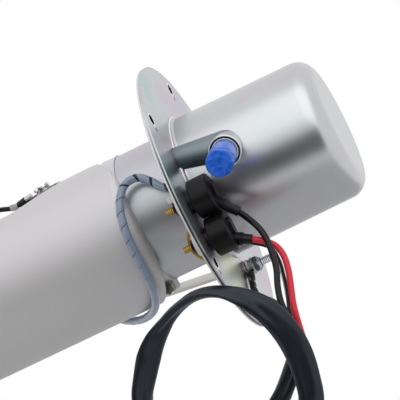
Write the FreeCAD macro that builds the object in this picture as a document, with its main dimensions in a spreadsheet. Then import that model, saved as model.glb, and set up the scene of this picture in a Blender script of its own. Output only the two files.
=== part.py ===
import FreeCAD, Part
import math
import os
import re

import Sketcher
from FreeCAD import Placement, Rotation, Vector

# In-tank fuel pump. Millimetres, +Z is the pump's axis towards the motor cup.
# The origin is the centre of the flange's mounting face, which lies on the tank.
# +X is the side of the ground stud and -Y the side of the two terminals.

SIZES = {
    "flange_radius": 95.7, "flange_thick": 3.2,
    "seat_width": 16.4, "seat_relief": 0.3, "bolt_edge": 9.7, "bolt_hole_radius": 3.75, "bolt_count": 5, "bolt_first_angle": -62.0,
    "dimple_radius": 1.5, "dimple_depth": 0.9, "dimple_reach": 7.2,
    "cup_radius": 50.0, "cup_height": 100.5, "cup_wall": 1.4, "cup_corner": 13.0, "cup_draft": 1.0,
    "cup_offset": 6.0, "foot_width": 1.8, "foot_fillet": 1.4,
    "opening_clear": 14.3,
    "gallery_radius": 10.8, "gallery_foot_radius": 8.0, "gallery_height": 33.0, "gallery_wall": 1.2,
    "gallery_side": 30.0, "gallery_proud": 7.6, "gallery_lean": 11.0,
    "port_side": 21.0, "port_height": 36.8, "port_face": 58.0, "port_turn": 9.4,
    "port_boss_radius": 10.3, "port_boss_length": 11.0, "port_bore_radius": 4.0,
    "port_collar_radius": 10.0, "port_collar_thick": 1.3,
    "ring_mean_radius": 7.7, "ring_section": 1.15,
    "nipple_radius": 6.0, "nipple_length": 30.0, "barb_height": 0.7, "barb_pitch": 6.0,
    "cap_radius": 8.8, "cap_wall": 1.3, "cap_length": 36.0, "cap_gap": 3.0, "cap_skirt": 11.0,
    "terminal_spacing": 26.5, "terminal_side": -1.0, "terminal_reach": 66.0,
    "terminal_stud_radius": 2.5, "terminal_stud_below": 14.0,
    "insulator_radius": 8.0, "insulator_height": 3.0, "insulator_spigot": 5.0,
    "washer_nylon_radius": 7.6, "washer_nylon_thick": 3.4,
    "terminal_nut_across": 8.0, "terminal_nut_height": 4.6,
    "boot_radius": 13.2, "boot_height": 13.8, "boot_wall": 2.4, "boot_round": 1.1,
    "snout_radius": 4.2, "snout_length": 7.0, "sleeve_radius": 3.1,
    "ground_side": 55.5, "ground_stud_radius": 3.0, "ground_stud_length": 20.5,
    "ground_washer_radius": 6.0, "ground_washer_thick": 1.5, "lug_thick": 1.0,
    "spring_washer_radius": 5.3, "spring_washer_thick": 1.9, "ground_nut_across": 10.0,
    "ground_nut_height": 5.0,
    "tube_radius": 52.3, "tube_wall": 1.2, "tube_top": 38.0, "tube_below": 25.0,
    "shoulder_fillet": 8.0, "window_depth": 59.5, "window_slope": 26.6,
    "flat_start": 85.0, "flat_full": 121.0, "flat_depth": 5.5,
    "canister_clear": 6.5, "canister_wall": 1.5, "canister_length": 190.0, "canister_offset": 4.8,
    "canister_step": 74.0, "canister_taper": 12.0, "canister_low_clear": 13.3,
    "clamp_width": 10.5, "clamp_thick": 0.6, "clamp_top": 42.0,
    "clamp_screw_radius": 3.6, "clamp_box_length": 15.0, "clamp_box_height": 6.8, "clamp_box_width": 9.0,
    "strap_rest": 66.0, "strap_width": 12.0, "strap_thick": 1.6, "strap_length": 88.0, "strap_foot": 11.0,
    "strap_angle": 21.0, "strap_lean": 7.0,
    "cable_radius": 3.2, "cable_grommet_radius": 4.2, "cable_grommet_length": 5.5,
    "lug_pad_width": 16.0, "lug_pad_length": 33.0, "lug_pad_thick": 0.9, "lug_thin": 0.9,
    "earth_screw_drop": 99.0, "earth_screw_radius": 2.0, "earth_screw_head": 6.2, "earth_screw_head_height": 3.0,
    "earth_washer_radius": 7.4, "earth_washer_thick": 0.7,
    "earth_lock_radius": 5.0, "earth_lock_thick": 0.9,
    "wire_radius": 2.1, "thin_wire_radius": 1.1, "earth_wire_radius": 1.7,
    "loom_radius": 5.75, "plug_width": 16.0, "plug_thick": 12.0, "plug_length": 22.0,
    "motor_clear": 16.3, "motor_wall": 2.0, "motor_drop": 117.5, "motor_height": 90.0,
    "cover_thick": 5.0, "base_thick": 8.0, "brush_width": 4.0, "brush_length": 9.0, "brush_height": 8.0,
    "magnet_thick": 5.0, "magnet_gap": 1.0, "armature_height": 52.0, "armature_slots": 8,
    "commutator_radius": 10.5, "commutator_height": 12.0, "shaft_radius": 3.0, "bearing_radius": 8.0,
    "bearing_height": 6.0, "bearing_gap": 0.05,
    "impeller_radius": 24.0, "impeller_height": 5.0, "impeller_vanes": 16, "chamber_gap": 0.5,
    "tower_radius": 9.0, "tower_bore": 6.2, "tower_height": 46.0,
    "poppet_radius": 5.6, "poppet_travel": 3.0, "valve_spring_wire": 0.6, "valve_spring_turns": 5,
    "filter_radius": 42.0, "filter_bore": 22.0, "filter_height": 62.0, "filter_pleats": 24,
    "base_cap_thick": 3.0, "inlet_radius": 12.0, "inlet_bore": 8.5, "inlet_length": 14.0,
    "strainer_radius": 24.0, "strainer_height": 12.0,
}

# Sizes that keep a clearance from another size
TIES = {
    "bolt_circle_radius": "flange_radius - bolt_edge",
    "seat_radius": "flange_radius - seat_width",
    "canister_radius": "tube_radius - canister_clear",
    "canister_low_radius": "tube_radius - canister_low_clear",
    "opening_radius": "tube_radius - opening_clear",
    "motor_radius": "tube_radius - motor_clear",
    "motor_top": "canister_length - motor_drop",
    "tube_length": "canister_length + tube_below",
}

doc = FreeCAD.newDocument("fuel_pump")
sheet = doc.addObject("Spreadsheet::Sheet", "Sizes")
for row, (alias, value) in enumerate(SIZES.items(), start=1):
    sheet.set("A%d" % row, alias)
    sheet.set("B%d" % row, str(value))
    sheet.setAlias("B%d" % row, alias)
doc.recompute()

WORD = re.compile(r"[a-z][a-z_]*[a-z]")
pieces = []


def size(alias):
    """A driving dimension as the sheet holds it, or a tied one as it comes out."""
    return value_of(alias) if alias in TIES else float(sheet.get(alias))


def spelled(formula):
    """A formula with its tied sizes written out and its names turned into cells."""
    def cell(match):
        name = match.group(0)
        if name in TIES:
            return "(%s)" % spelled(TIES[name])
        return "Sizes." + name if name in SIZES else name

    return WORD.sub(cell, str(formula))


def bind(thing, target, formula):
    """Tie a property or a sketch constraint to the sheet."""
    thing.setExpression(target, spelled(formula))


def value_of(formula):
    """What a formula of sheet names comes to now, for places that FreeCAD can't bind."""
    cell = doc.getObject("Probe") or doc.addObject("App::FeaturePython", "Probe")
    if "reading" not in cell.PropertiesList:
        cell.addProperty("App::PropertyFloat", "reading")
    bind(cell, "reading", formula)
    cell.recompute()
    return cell.reading


def place(thing, x=0, y=0, z=0, turn=None):
    """Put an object where three formulas say, turned first when turn is given."""
    if turn is not None:
        thing.Placement = Placement(Vector(), turn)
    for axis, formula in zip("xyz", (x, y, z)):
        if formula != 0:
            bind(thing, "Placement.Base." + axis, formula)
    return thing


def keep(thing, label):
    """List a finished piece for export under its node name."""
    thing.Label = label
    pieces.append(thing)
    return thing


def cylinder(radius, height, x=0, y=0, z=0, turn=None):
    solid = doc.addObject("Part::Cylinder", "Cylinder")
    bind(solid, "Radius", radius)
    bind(solid, "Height", height)
    return place(solid, x, y, z, turn)


def box(length, width, height, x=0, y=0, z=0, turn=None):
    solid = doc.addObject("Part::Box", "Box")
    for name, formula in (("Length", length), ("Width", width), ("Height", height)):
        bind(solid, name, formula)
    return place(solid, x, y, z, turn)


def prism(across, height, x=0, y=0, z=0, turn=None):
    """A hexagon of a given size across its flats."""
    solid = doc.addObject("Part::Prism", "Prism")
    solid.Polygon = 6
    bind(solid, "Circumradius", "(%s) / sqrt(3)" % across)
    bind(solid, "Height", height)
    return place(solid, x, y, z, turn)


def cone(low, high, height, x=0, y=0, z=0, turn=None):
    solid = doc.addObject("Part::Cone", "Cone")
    for name, formula in (("Radius1", low), ("Radius2", high), ("Height", height)):
        bind(solid, name, formula)
    return place(solid, x, y, z, turn)


def sphere(radius, x=0, y=0, z=0):
    solid = doc.addObject("Part::Sphere", "Sphere")
    bind(solid, "Radius", radius)
    return place(solid, x, y, z)


def torus(mean, section, x=0, y=0, z=0, turn=None):
    solid = doc.addObject("Part::Torus", "Torus")
    bind(solid, "Radius1", mean)
    bind(solid, "Radius2", section)
    return place(solid, x, y, z, turn)


def cut(base, *tools):
    for tool in tools:
        result = doc.addObject("Part::Cut", "Cut")
        result.Base = base
        result.Tool = tool
        base = result
    return base


def fuse(*solids):
    result = doc.addObject("Part::MultiFuse", "Fusion")
    result.Shapes = list(solids)
    return result


def common(*solids):
    result = doc.addObject("Part::MultiCommon", "Common")
    result.Shapes = list(solids)
    return result


def group(*solids):
    """Identical pieces that share one node and stay separate solids."""
    result = doc.addObject("Part::Compound", "Group")
    result.Links = list(solids)
    return result


def ring(outer, inner, height, x=0, y=0, z=0):
    """A plain washer or tube that stands on z."""
    return cut(cylinder(outer, height, x, y, z), cylinder(inner, "(%s) + 2" % height, x, y, "(%s) - 1" % z))


def rounded(base, test, radius):
    """Fillet the edges of a boolean or a primitive that a test picks."""
    doc.recompute()
    amount = value_of(radius)
    chosen = [(i + 1, amount, amount) for i, edge in enumerate(base.Shape.Edges) if test(edge)]
    result = doc.addObject("Part::Fillet", "Round")
    result.Base = base
    result.Edges = chosen
    return result


def is_circle(edge, radius=None, z=None):
    """Whether an edge is a whole level circle of a radius at a height."""
    if not isinstance(edge.Curve, Part.Circle) or len(edge.Vertexes) > 1:
        return False
    same_radius = radius is None or abs(edge.Curve.Radius - radius) < 0.01
    return same_radius and (z is None or abs(edge.Curve.Center.z - z) < 0.01)


def origin_plane(body, role):
    return next(item for item in body.Origin.OriginFeatures if item.Role == role)


def new_body(label, x=0, y=0, z=0, turn=None):
    body = doc.addObject("PartDesign::Body", label)
    place(body, x, y, z, turn)
    return body


def new_sketch(body, role="XY_Plane", lift=None):
    sketch = body.newObject("Sketcher::SketchObject", "Sketch")
    sketch.AttachmentSupport = [(origin_plane(body, role), "")]
    sketch.MapMode = "FlatFace"
    if lift is not None:
        bind(sketch, "AttachmentOffset.Base.z", lift)
    return sketch


def pin_point(sketch, geometry, end, formulas):
    """Fix a point of a sketch at two formulas, measured from the sketch's origin."""
    for kind, formula in zip(("DistanceX", "DistanceY"), formulas):
        amount = value_of(formula)
        if abs(amount) < 1e-9:
            zero = "PointOnObject"
            sketch.addConstraint(Sketcher.Constraint(zero, geometry, end, -2 if kind == "DistanceX" else -1))
            continue
        if amount > 0:
            index = sketch.addConstraint(Sketcher.Constraint(kind, -1, 1, geometry, end, amount))
            bind(sketch, "Constraints[%d]" % index, formula)
        else:
            index = sketch.addConstraint(Sketcher.Constraint(kind, geometry, end, -1, 1, -amount))
            bind(sketch, "Constraints[%d]" % index, "-(%s)" % formula)


def draw_outline(sketch, points):
    """A closed outline of straight lines whose corners are formulas of the sheet."""
    spots = [Vector(value_of(a), value_of(b), 0) for a, b in points]
    count = len(points)
    for i in range(count):
        sketch.addGeometry(Part.LineSegment(spots[i], spots[(i + 1) % count]), False)
    for i in range(count):
        sketch.addConstraint(Sketcher.Constraint("Coincident", i, 2, (i + 1) % count, 1))
        pin_point(sketch, i, 1, points[i])


def draw_circle(sketch, radius, centre=("0", "0")):
    circle = sketch.addGeometry(Part.Circle(Vector(value_of(centre[0]), value_of(centre[1]), 0),
                                            Vector(0, 0, 1), value_of(radius)), False)
    index = sketch.addConstraint(Sketcher.Constraint("Radius", circle, value_of(radius)))
    bind(sketch, "Constraints[%d]" % index, radius)
    pin_point(sketch, circle, 3, centre)


def revolve(body, points):
    """Turn an outline of (radius, height) corners about the body's Z axis."""
    sketch = new_sketch(body, "XZ_Plane")
    draw_outline(sketch, points)
    turn = body.newObject("PartDesign::Revolution", "Revolution")
    turn.Profile = sketch
    turn.ReferenceAxis = (sketch, ["V_Axis"])
    turn.Angle = 360
    doc.recompute()
    return turn


def pad(body, sketch, length, down=False):
    feature = body.newObject("PartDesign::Pad", "Pad")
    feature.Profile = sketch
    bind(feature, "Length", length)
    feature.Reversed = down
    doc.recompute()
    return feature


def pocket(body, sketch, depth, up=False):
    """Sink a sketch into the body and make sure that it cut something."""
    before = body.Shape.Volume
    feature = body.newObject("PartDesign::Pocket", "Pocket")
    feature.Profile = sketch
    bind(feature, "Length", depth)
    feature.Reversed = up
    doc.recompute()
    if body.Shape.Volume > before - 1e-3:
        raise ValueError("a pocket of %s cut nothing" % body.Label)
    return feature


def pattern(body, feature, count):
    """Repeat a feature round the body's Z axis."""
    result = body.newObject("PartDesign::PolarPattern", "Pattern")
    result.Originals = [feature]
    result.Axis = (next(item for item in body.Origin.OriginFeatures if item.Role == "Z_Axis"), [""])
    result.Angle = 360
    bind(result, "Occurrences", count)
    body.Tip = result
    doc.recompute()
    return result


def fillet(body, test, radius):
    """Round the edges of a body's last feature that a test picks."""
    base = body.Tip
    names = ["Edge%d" % (i + 1) for i, edge in enumerate(base.Shape.Edges) if test(edge)]
    feature = body.newObject("PartDesign::Fillet", "Fillet")
    feature.Base = (base, names)
    bind(feature, "Radius", radius)
    doc.recompute()
    return feature


# Flange and cup

def mounting_flange():
    body = new_body("mounting_flange")
    disc = new_sketch(body)
    draw_circle(disc, "flange_radius")
    pad(body, disc, "flange_thick")
    relief = new_sketch(body)
    draw_circle(relief, "seat_radius")
    pocket(body, relief, "seat_relief", up=True)
    hole = new_sketch(body)
    draw_circle(hole, "opening_radius", ("-cup_offset", "0"))
    pocket(body, hole, "flange_thick", up=True)
    studs = new_sketch(body)
    for step in (0, 1):
        draw_circle(studs, "insulator_spigot", ("terminal_side + %d * terminal_spacing" % step,
                                                "-terminal_reach"))
    pocket(body, studs, "flange_thick", up=True)
    bolt = new_sketch(body)
    draw_circle(bolt, "bolt_hole_radius", ("bolt_circle_radius * cos(bolt_first_angle * 1deg)",
                                           "bolt_circle_radius * sin(bolt_first_angle * 1deg)"))
    one = pocket(body, bolt, "flange_thick", up=True)
    pattern(body, one, "bolt_count")
    dimples = new_sketch(body, lift="flange_thick")
    for step in range(int(size("bolt_count"))):
        angle = "(bolt_first_angle + %d * 360 / bolt_count) * 1deg" % step
        draw_circle(dimples, "dimple_radius", ("bolt_circle_radius * cos(%s) + dimple_reach" % angle,
                                               "bolt_circle_radius * sin(%s)" % angle))
    pocket(body, dimples, "dimple_depth")
    keep(body, "mounting_flange")


def motor_cup():
    body = new_body("cup_shell", x="-cup_offset", z="flange_thick")
    revolve(body, [("cup_radius + foot_width", "0"), ("cup_radius + foot_width", "cup_wall"),
                   ("cup_radius", "cup_wall"), ("cup_radius - cup_draft", "cup_height"),
                   ("0", "cup_height"), ("0", "cup_height - cup_wall"),
                   ("cup_radius - cup_draft - cup_wall", "cup_height - cup_wall"),
                   ("cup_radius - cup_wall", "0")])
    top = size("cup_height")
    fillet(body, lambda e: is_circle(e, size("cup_radius") - size("cup_draft"), top), "cup_corner")
    inner = size("cup_radius") - size("cup_draft") - size("cup_wall")
    fillet(body, lambda e: is_circle(e, inner, top - size("cup_wall")), "cup_corner - cup_wall")
    fillet(body, lambda e: is_circle(e, size("cup_radius"), size("cup_wall")), "foot_fillet")
    keep(cut(body, on_port(cylinder("port_bore_radius", "port_boss_length + 20"), "-port_boss_length - 12")),
         "motor_cup")


def outlet_gallery():
    """A pressed channel up the cup's side that widens to a dome round the port."""
    lean = Rotation(Vector(0, 1, 0), size("gallery_lean"))
    root_y = "-sqrt(pow(cup_radius; 2) - pow(gallery_side - cup_offset; 2)) - gallery_proud + gallery_foot_radius"
    top_x = "-gallery_side + gallery_height * sin(gallery_lean * 1deg)"
    top_z = "flange_thick + gallery_height * cos(gallery_lean * 1deg)"
    spread = math.asin((size("gallery_radius") - size("gallery_foot_radius")) / size("gallery_height"))

    def capsule(inset):
        """The channel's outer or inner form: a taper that meets a ball smoothly."""
        foot = "(gallery_foot_radius - (%s)) / %s" % (inset, math.cos(spread))
        neck = "(gallery_radius - (%s)) * %s" % (inset, math.cos(spread))
        length = "gallery_height + (gallery_radius - (%s)) * %s" % (inset, math.sin(-spread))
        stem = cone(foot, neck, length, "-gallery_side", root_y, "flange_thick", lean)
        below_stem = cylinder(foot, "6", "-gallery_side - 5.9 * sin(gallery_lean * 1deg)", root_y,
                              "flange_thick - 5.9 * cos(gallery_lean * 1deg)", lean)
        return fuse(below_stem, stem, sphere("gallery_radius - (%s)" % inset, top_x, root_y, top_z))

    below = box("80", "80", "20", "-gallery_side - 40", "-90", "flange_thick - 20")
    wall = cylinder("cup_radius + 0.02", "cup_height", "-cup_offset", 0, "0")
    rim = cylinder("cup_radius + foot_width + 0.02", "flange_thick + cup_wall", "-cup_offset")
    foot = cone("cup_radius + foot_width + 0.02", "cup_radius", "foot_fillet + 0.6", "-cup_offset", 0,
                "flange_thick + cup_wall")
    bore = cylinder("port_boss_radius + 0.02", "port_boss_length + 20", turn=port_turn())
    place(bore, "-port_side", "-port_face", "port_height", port_turn(inward=True))
    channel = cut(capsule("0"), capsule("gallery_wall"), below, wall, rim, foot, bore)
    keep(channel, "outlet_gallery")


def port_turn(inward=False):
    """Turns +Z to the outlet's own direction, level and nearly towards -Y."""
    way = Rotation(Vector(0, 0, 1), size("port_turn")).multVec(Vector(0, -1, 0))
    return Rotation(Vector(0, 0, 1), way.negative() if inward else way)


def on_port(thing, along):
    """Put a piece on the outlet's axis, a distance outwards from the boss's face."""
    way = ("sin(port_turn * 1deg)", "-cos(port_turn * 1deg)")
    return place(thing, "-port_side + (%s) * %s" % (along, way[0]),
                 "-port_face + (%s) * %s" % (along, way[1]), "port_height", port_turn())


def outlet_port():
    boss = on_port(cylinder("port_boss_radius", "port_boss_length + 6"), "-port_boss_length - 6")
    bore = on_port(cylinder("port_bore_radius", "port_boss_length + 10"), "-port_boss_length - 8")
    wall = cylinder("cup_radius + 0.02", "cup_height", "-cup_offset", 0, "0")
    keep(cut(boss, bore, wall), "outlet_boss")
    collar = on_port(cylinder("port_collar_radius", "port_collar_thick"), "0")
    hole = on_port(cylinder("nipple_radius + 0.1", "port_collar_thick + 2"), "-1")
    keep(cut(collar, hole), "outlet_seal_washer")
    keep(on_port(torus("ring_mean_radius", "ring_section"), "port_collar_thick + ring_section"), "outlet_o_ring")


def outlet_nipple():
    """The turned hose nipple: a spigot in the boss and three barbs."""
    body = new_body("outlet_nipple")
    start = "port_collar_thick + 2 * ring_section"
    corners = [("port_bore_radius - 1.2", "2 - port_boss_length"),
               ("port_bore_radius - 0.02", "2 - port_boss_length"),
               ("port_bore_radius - 0.02", "0"), ("nipple_radius - 0.6", "0"),
               ("nipple_radius - 0.6", start), ("nipple_radius", "(%s) + 0.4" % start)]
    for step in range(3):
        low = "nipple_length - %d * barb_pitch" % (3 - step)
        corners.append(("nipple_radius", low))
        corners.append(("nipple_radius + barb_height", "(%s) + 0.5" % low))
        corners.append(("nipple_radius", "(%s) + barb_pitch - 0.5" % low))
    corners.append(("nipple_radius - 0.8", "nipple_length"))
    corners.append(("port_bore_radius - 1.2", "nipple_length"))
    revolve(body, corners)
    on_port(body, "0")
    keep(body, "outlet_nipple")


def outlet_cap():
    """The slip-on plastic dust cap, stepped out over its closed end."""
    body = new_body("outlet_cap")
    end = "cap_gap + cap_length"
    revolve(body, [("nipple_radius + barb_height + 0.1", "cap_gap + 1"),
                   ("cap_radius - 0.9", "cap_gap + 1"), ("cap_radius - 0.5", "cap_skirt"),
                   ("cap_radius", "cap_skirt + 1.2"), ("cap_radius", end), ("0", end),
                   ("0", "(%s) - cap_wall" % end),
                   ("nipple_radius + barb_height + 0.1", "(%s) - cap_wall" % end)])
    far = value_of(end)
    fillet(body, lambda e: is_circle(e, size("cap_radius"), far), "cap_wall")
    on_port(body, "0")
    keep(body, "outlet_cap")


# Terminals

def terminal_x(step):
    return "terminal_side + %d * terminal_spacing" % step


def terminals():
    y = "-terminal_reach"
    studs, posts, washers, nuts = [], [], [], []
    for step in (0, 1):
        x = terminal_x(step)
        shank = cylinder("terminal_stud_radius", "terminal_stud_below + flange_thick + insulator_height + 6",
                         x, y, "-terminal_stud_below")
        studs.append(rounded(shank, lambda e: is_circle(e, z=-size("terminal_stud_below")), "0.8"))
        post = fuse(cylinder("insulator_radius", "insulator_height", x, y, "flange_thick"),
                    cylinder("insulator_spigot - 0.05", "flange_thick + 1", x, y, "seat_relief"))
        posts.append(cut(post, cylinder("terminal_stud_radius + 0.02", "flange_thick + insulator_height + 4",
                                        x, y, "-1")))
        washers.append(ring("washer_nylon_radius", "terminal_stud_radius + 0.1", "washer_nylon_thick", x, y,
                            "seat_relief - washer_nylon_thick"))
        nut_low = "seat_relief - washer_nylon_thick - terminal_nut_height"
        nuts.append(cut(prism("terminal_nut_across", "terminal_nut_height", x, y, nut_low),
                        cylinder("terminal_stud_radius + 0.02", "terminal_nut_height + 2", x, y,
                                 "(%s) - 1" % nut_low)))
    keep(group(*studs), "terminal_studs")
    keep(group(*posts), "terminal_insulators")
    keep(group(*washers), "terminal_washers")
    keep(group(*nuts), "terminal_nuts")


SNOUTS = {"terminal_boot_a": (0, 5.0, Vector(0.78, -0.03, 0.62)),
          "terminal_boot_b": (1, 6.0, Vector(0.46, -0.08, 0.884))}
SNOUT_LIFT = -1.8
SLEEVES = {"terminal_boot_a": 11, "terminal_boot_b": 6}


def snout_start(label):
    step, side, way = SNOUTS[label]
    top = size("flange_thick") + size("insulator_height") + size("boot_height")
    return Vector(value_of(terminal_x(step)) + side, -size("terminal_reach"), top + SNOUT_LIFT)


def along_snout(thing, label, distance):
    """Put a piece at a distance along a boot's cable snout."""
    step, side, way = SNOUTS[label]
    unit = Vector(way).normalize()
    turn = Rotation(Vector(0, 0, 1), unit)
    base = "flange_thick + insulator_height + boot_height + %s" % SNOUT_LIFT
    return place(thing, "%s + %s + (%s) * %s" % (terminal_x(step), side, distance, unit.x),
                 "-terminal_reach + (%s) * %s" % (distance, unit.y),
                 "%s + (%s) * %s" % (base, distance, unit.z), turn)


def terminal_boots():
    low = "flange_thick + insulator_height"
    y = "-terminal_reach"
    for label, (step, side, way) in SNOUTS.items():
        x = terminal_x(step)
        shell = rounded(cylinder("boot_radius", "boot_height", x, y, low),
                        lambda e: is_circle(e), "boot_round")
        lug = rounded(box("13", "8.4", "2.2", "(%s) - 8" % x, "(%s) - 4.2" % y, "(%s) + boot_height - 0.2" % low),
                      lambda e: abs(e.tangentAt(e.FirstParameter).z) > 0.9, "4")
        snout = along_snout(cylinder("snout_radius", "snout_length"), label, "0")
        hollow = cylinder("boot_radius - boot_wall", "boot_height - boot_wall + 1", x, y, "(%s) - 1" % low)
        passage = along_snout(cylinder("wire_radius", "snout_length - 3"), label, "0")
        keep(cut(fuse(shell, lug, snout), hollow, passage), label)
    sleeves = [along_snout(cone("sleeve_radius + 0.3", "sleeve_radius", "%s" % length), label, "snout_length")
               for label, length in SLEEVES.items()]
    keep(group(*sleeves), "boot_sleeves")


def ground_stud():
    x = "ground_side"
    stud = rounded(cylinder("ground_stud_radius", "ground_stud_length", x, 0, "flange_thick"),
                   lambda e: is_circle(e, z=size("flange_thick") + size("ground_stud_length")), "0.8")
    keep(stud, "ground_stud")
    low = "flange_thick"
    washers = []
    bore = "ground_stud_radius + 0.15"
    for lift in ("0", "ground_washer_thick + lug_thick",
                 "2 * ground_washer_thick + lug_thick + spring_washer_thick"):
        washers.append(ring("ground_washer_radius", bore, "ground_washer_thick", x, 0, "%s + %s" % (low, lift)))
    keep(group(*washers), "ground_washers")
    lug_z = "%s + ground_washer_thick" % low
    turn = Rotation(Vector(0, 0, 1), -52.7)
    plate = fuse(cylinder("5.2", "lug_thick"), box("13", "4.6", "lug_thick", 0, "-2.3", 0),
                 cut(cylinder("2.3", "8", "9", 0, "1.6", Rotation(Vector(0, 1, 0), 90)),
                     cylinder("1.15", "10", "8", 0, "1.6", Rotation(Vector(0, 1, 0), 90))))
    lug = cut(plate, cylinder(bore, "6", z="-2"))
    place(lug, x, 0, lug_z, turn)
    keep(lug, "ground_ring_terminal")
    spring_z = "%s + 2 * ground_washer_thick + lug_thick" % low
    gap = box("6", "0.8", "4", x, 0, "%s - 1" % spring_z)
    keep(cut(ring("spring_washer_radius", bore, "spring_washer_thick", x, 0, spring_z), gap),
         "ground_spring_washer")
    nut_z = "%s + 3 * ground_washer_thick + lug_thick + spring_washer_thick" % low
    nut = cut(prism("ground_nut_across", "ground_nut_height", x, 0, nut_z, Rotation(Vector(0, 0, 1), 20)),
              cylinder("ground_stud_radius + 0.02", "ground_nut_height + 2", x, 0, "%s - 1" % nut_z))
    crown = cone("ground_nut_across / sqrt(3) + 2.6", "ground_nut_across / sqrt(3) - 2.4", "ground_nut_height", x, 0,
                 "%s + 0.0" % nut_z)
    keep(common(nut, crown), "ground_nut")


# Canister, outer tube and what joins them to the flange

def pump_canister():
    body = new_body("pump_canister", x="-canister_offset")
    step = "-canister_step - canister_taper"
    floor = "-canister_length"
    revolve(body, [("canister_radius", "seat_relief"), ("canister_radius", "-canister_step"),
                   ("canister_low_radius", step), ("canister_low_radius", floor),
                   ("impeller_radius - 6", floor), ("impeller_radius - 6", "canister_wall - canister_length"),
                   ("canister_low_radius - canister_wall", "canister_wall - canister_length"),
                   ("canister_low_radius - canister_wall", "%s + 0.2" % step),
                   ("canister_radius - canister_wall", "0.2 - canister_step"),
                   ("canister_radius - canister_wall", "seat_relief")])
    keep(body, "pump_canister")


def flat_block(inset, name):
    """What the pressed flat takes off the tube, moved inwards by a wall for its inner side."""
    sketch_body = new_body(name)
    sketch = new_sketch(sketch_body, "XZ_Plane")
    far = "tube_radius + 20"
    draw_outline(sketch, [("(%s) - tube_radius" % inset, "-flat_start"),
                          ("(%s) - tube_radius + flat_depth" % inset, "-flat_full"),
                          ("(%s) - tube_radius + flat_depth" % inset, "-tube_length - 20"),
                          ("-(%s)" % far, "-tube_length - 20"), ("-(%s)" % far, "-flat_start")])
    feature = pad(sketch_body, sketch, "tube_radius * 2")
    feature.SideType = "Symmetric"
    return sketch_body


def outer_tube():
    """The tank-side tube: rolled in at its top, pressed flat at one side, cut aslant above."""
    height = "tube_length - tube_top"
    shell = rounded(cylinder("tube_radius", height, z="-tube_length"),
                    lambda e: is_circle(e, z=-size("tube_top")), "shoulder_fillet")
    hollow = rounded(cylinder("tube_radius - tube_wall", "%s - tube_wall" % height, z="-tube_length"),
                     lambda e: is_circle(e, z=-size("tube_top") - size("tube_wall")),
                     "shoulder_fillet - tube_wall")
    solid = cut(shell, flat_block("0", "outer_flat"))
    space = cut(hollow, flat_block("tube_wall", "inner_flat"))
    neck = cylinder("canister_radius + 0.25", "60", "-canister_offset", 0, "-tube_top - 30")
    slope = Rotation(Vector(1, 0, 0), -size("window_slope"))
    window = box("300", "300", "120", "-150", "-150 * cos(window_slope * 1deg)",
                 "-window_depth + 150 * sin(window_slope * 1deg)", slope)
    screw_hole = flat_place(cylinder("earth_screw_radius + 0.02", "20"), "earth_screw_drop", "-10")
    entry = round_hole(beside_tube(CABLE_ROUTE)[-1], "cable_radius - 0.6")
    keep(cut(solid, space, neck, window, screw_hole, entry), "outer_tube")


def round_hole(spot, radius):
    """A hole through the tube's wall, level and square to it, where a cord enters."""
    way = Vector(spot.x, spot.y, 0).normalize()
    return place(cylinder(radius, "30"), str(spot.x - way.x * 15), str(spot.y - way.y * 15), str(spot.z),
                 Rotation(Vector(0, 0, 1), way))


def hose_clamp():
    top = "-clamp_top"
    x = "-canister_offset"
    half_turn = Rotation(Vector(0, 0, 1), 180)
    hoop = cylinder("canister_radius + clamp_thick + 0.05", "clamp_width", x, 0, "%s - clamp_width" % top,
                    half_turn)
    inside = cylinder("canister_radius + 0.05", "clamp_width + 2", x, 0, "%s - clamp_width - 1" % top, half_turn)
    side = "-canister_offset + canister_radius + clamp_thick - 0.3"
    mid = "%s - clamp_width / 2" % top
    length = "clamp_box_length"
    along_y = Rotation(Vector(1, 0, 0), 90)
    housing = rounded(box("clamp_box_height + 4", length, "clamp_box_width", "%s - 4" % side,
                          "-clamp_box_length / 2 - 3",
                          "%s - clamp_box_width / 2" % mid),
                      lambda e: abs(e.tangentAt(e.FirstParameter).y) > 0.9 and e.CenterOfMass.x >
                      value_of(side) + size("clamp_box_height") - 0.1, "2.4")
    worm = cylinder("clamp_screw_radius - 1.1", "clamp_box_length + 6", "%s + 3.5" % side,
                    "clamp_box_length / 2 + 1", mid, along_y)
    keep(cut(fuse(hoop, housing), inside, worm), "clamp_band")
    shaft = cylinder("clamp_screw_radius - 1.2", "clamp_box_length", "%s + 3.5" % side,
                     "clamp_box_length / 2 - 4", mid, along_y)
    head = prism("2 * clamp_screw_radius", "4", "%s + 3.5" % side, "-clamp_box_length / 2 - 3.05", mid, along_y)
    slot = box("8", "1.6", "1", "%s - 0.5" % side, "-clamp_box_length / 2 - 8", "%s - 0.5" % mid)
    keep(cut(fuse(shaft, head), slot), "clamp_screw")


def support_strap():
    """The bent bar that ties the tube's inside to the flange's underside."""
    lean = Rotation(Vector(0, 1, 0), size("strap_lean"))
    reach = "tube_radius - tube_wall - 0.5 - strap_thick - (strap_length - strap_rest) * tan(strap_lean * 1deg)"
    bar = box("strap_thick", "strap_width", "strap_length + 4", reach, "-strap_width / 2", "-strap_length", lean)
    top = "%s + strap_length * tan(strap_lean * 1deg)" % reach
    foot = box("strap_foot", "strap_width", "strap_thick", top, "-strap_width / 2", "-strap_thick")
    piece = cut(fuse(bar, foot), box("60", "60", "20", "20", "-30", "0"))
    place(piece, 0, 0, "seat_relief", Rotation(Vector(0, 0, 1), size("strap_angle")))
    keep(piece, "support_strap")


# Earth lead on the tube's flat

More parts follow.
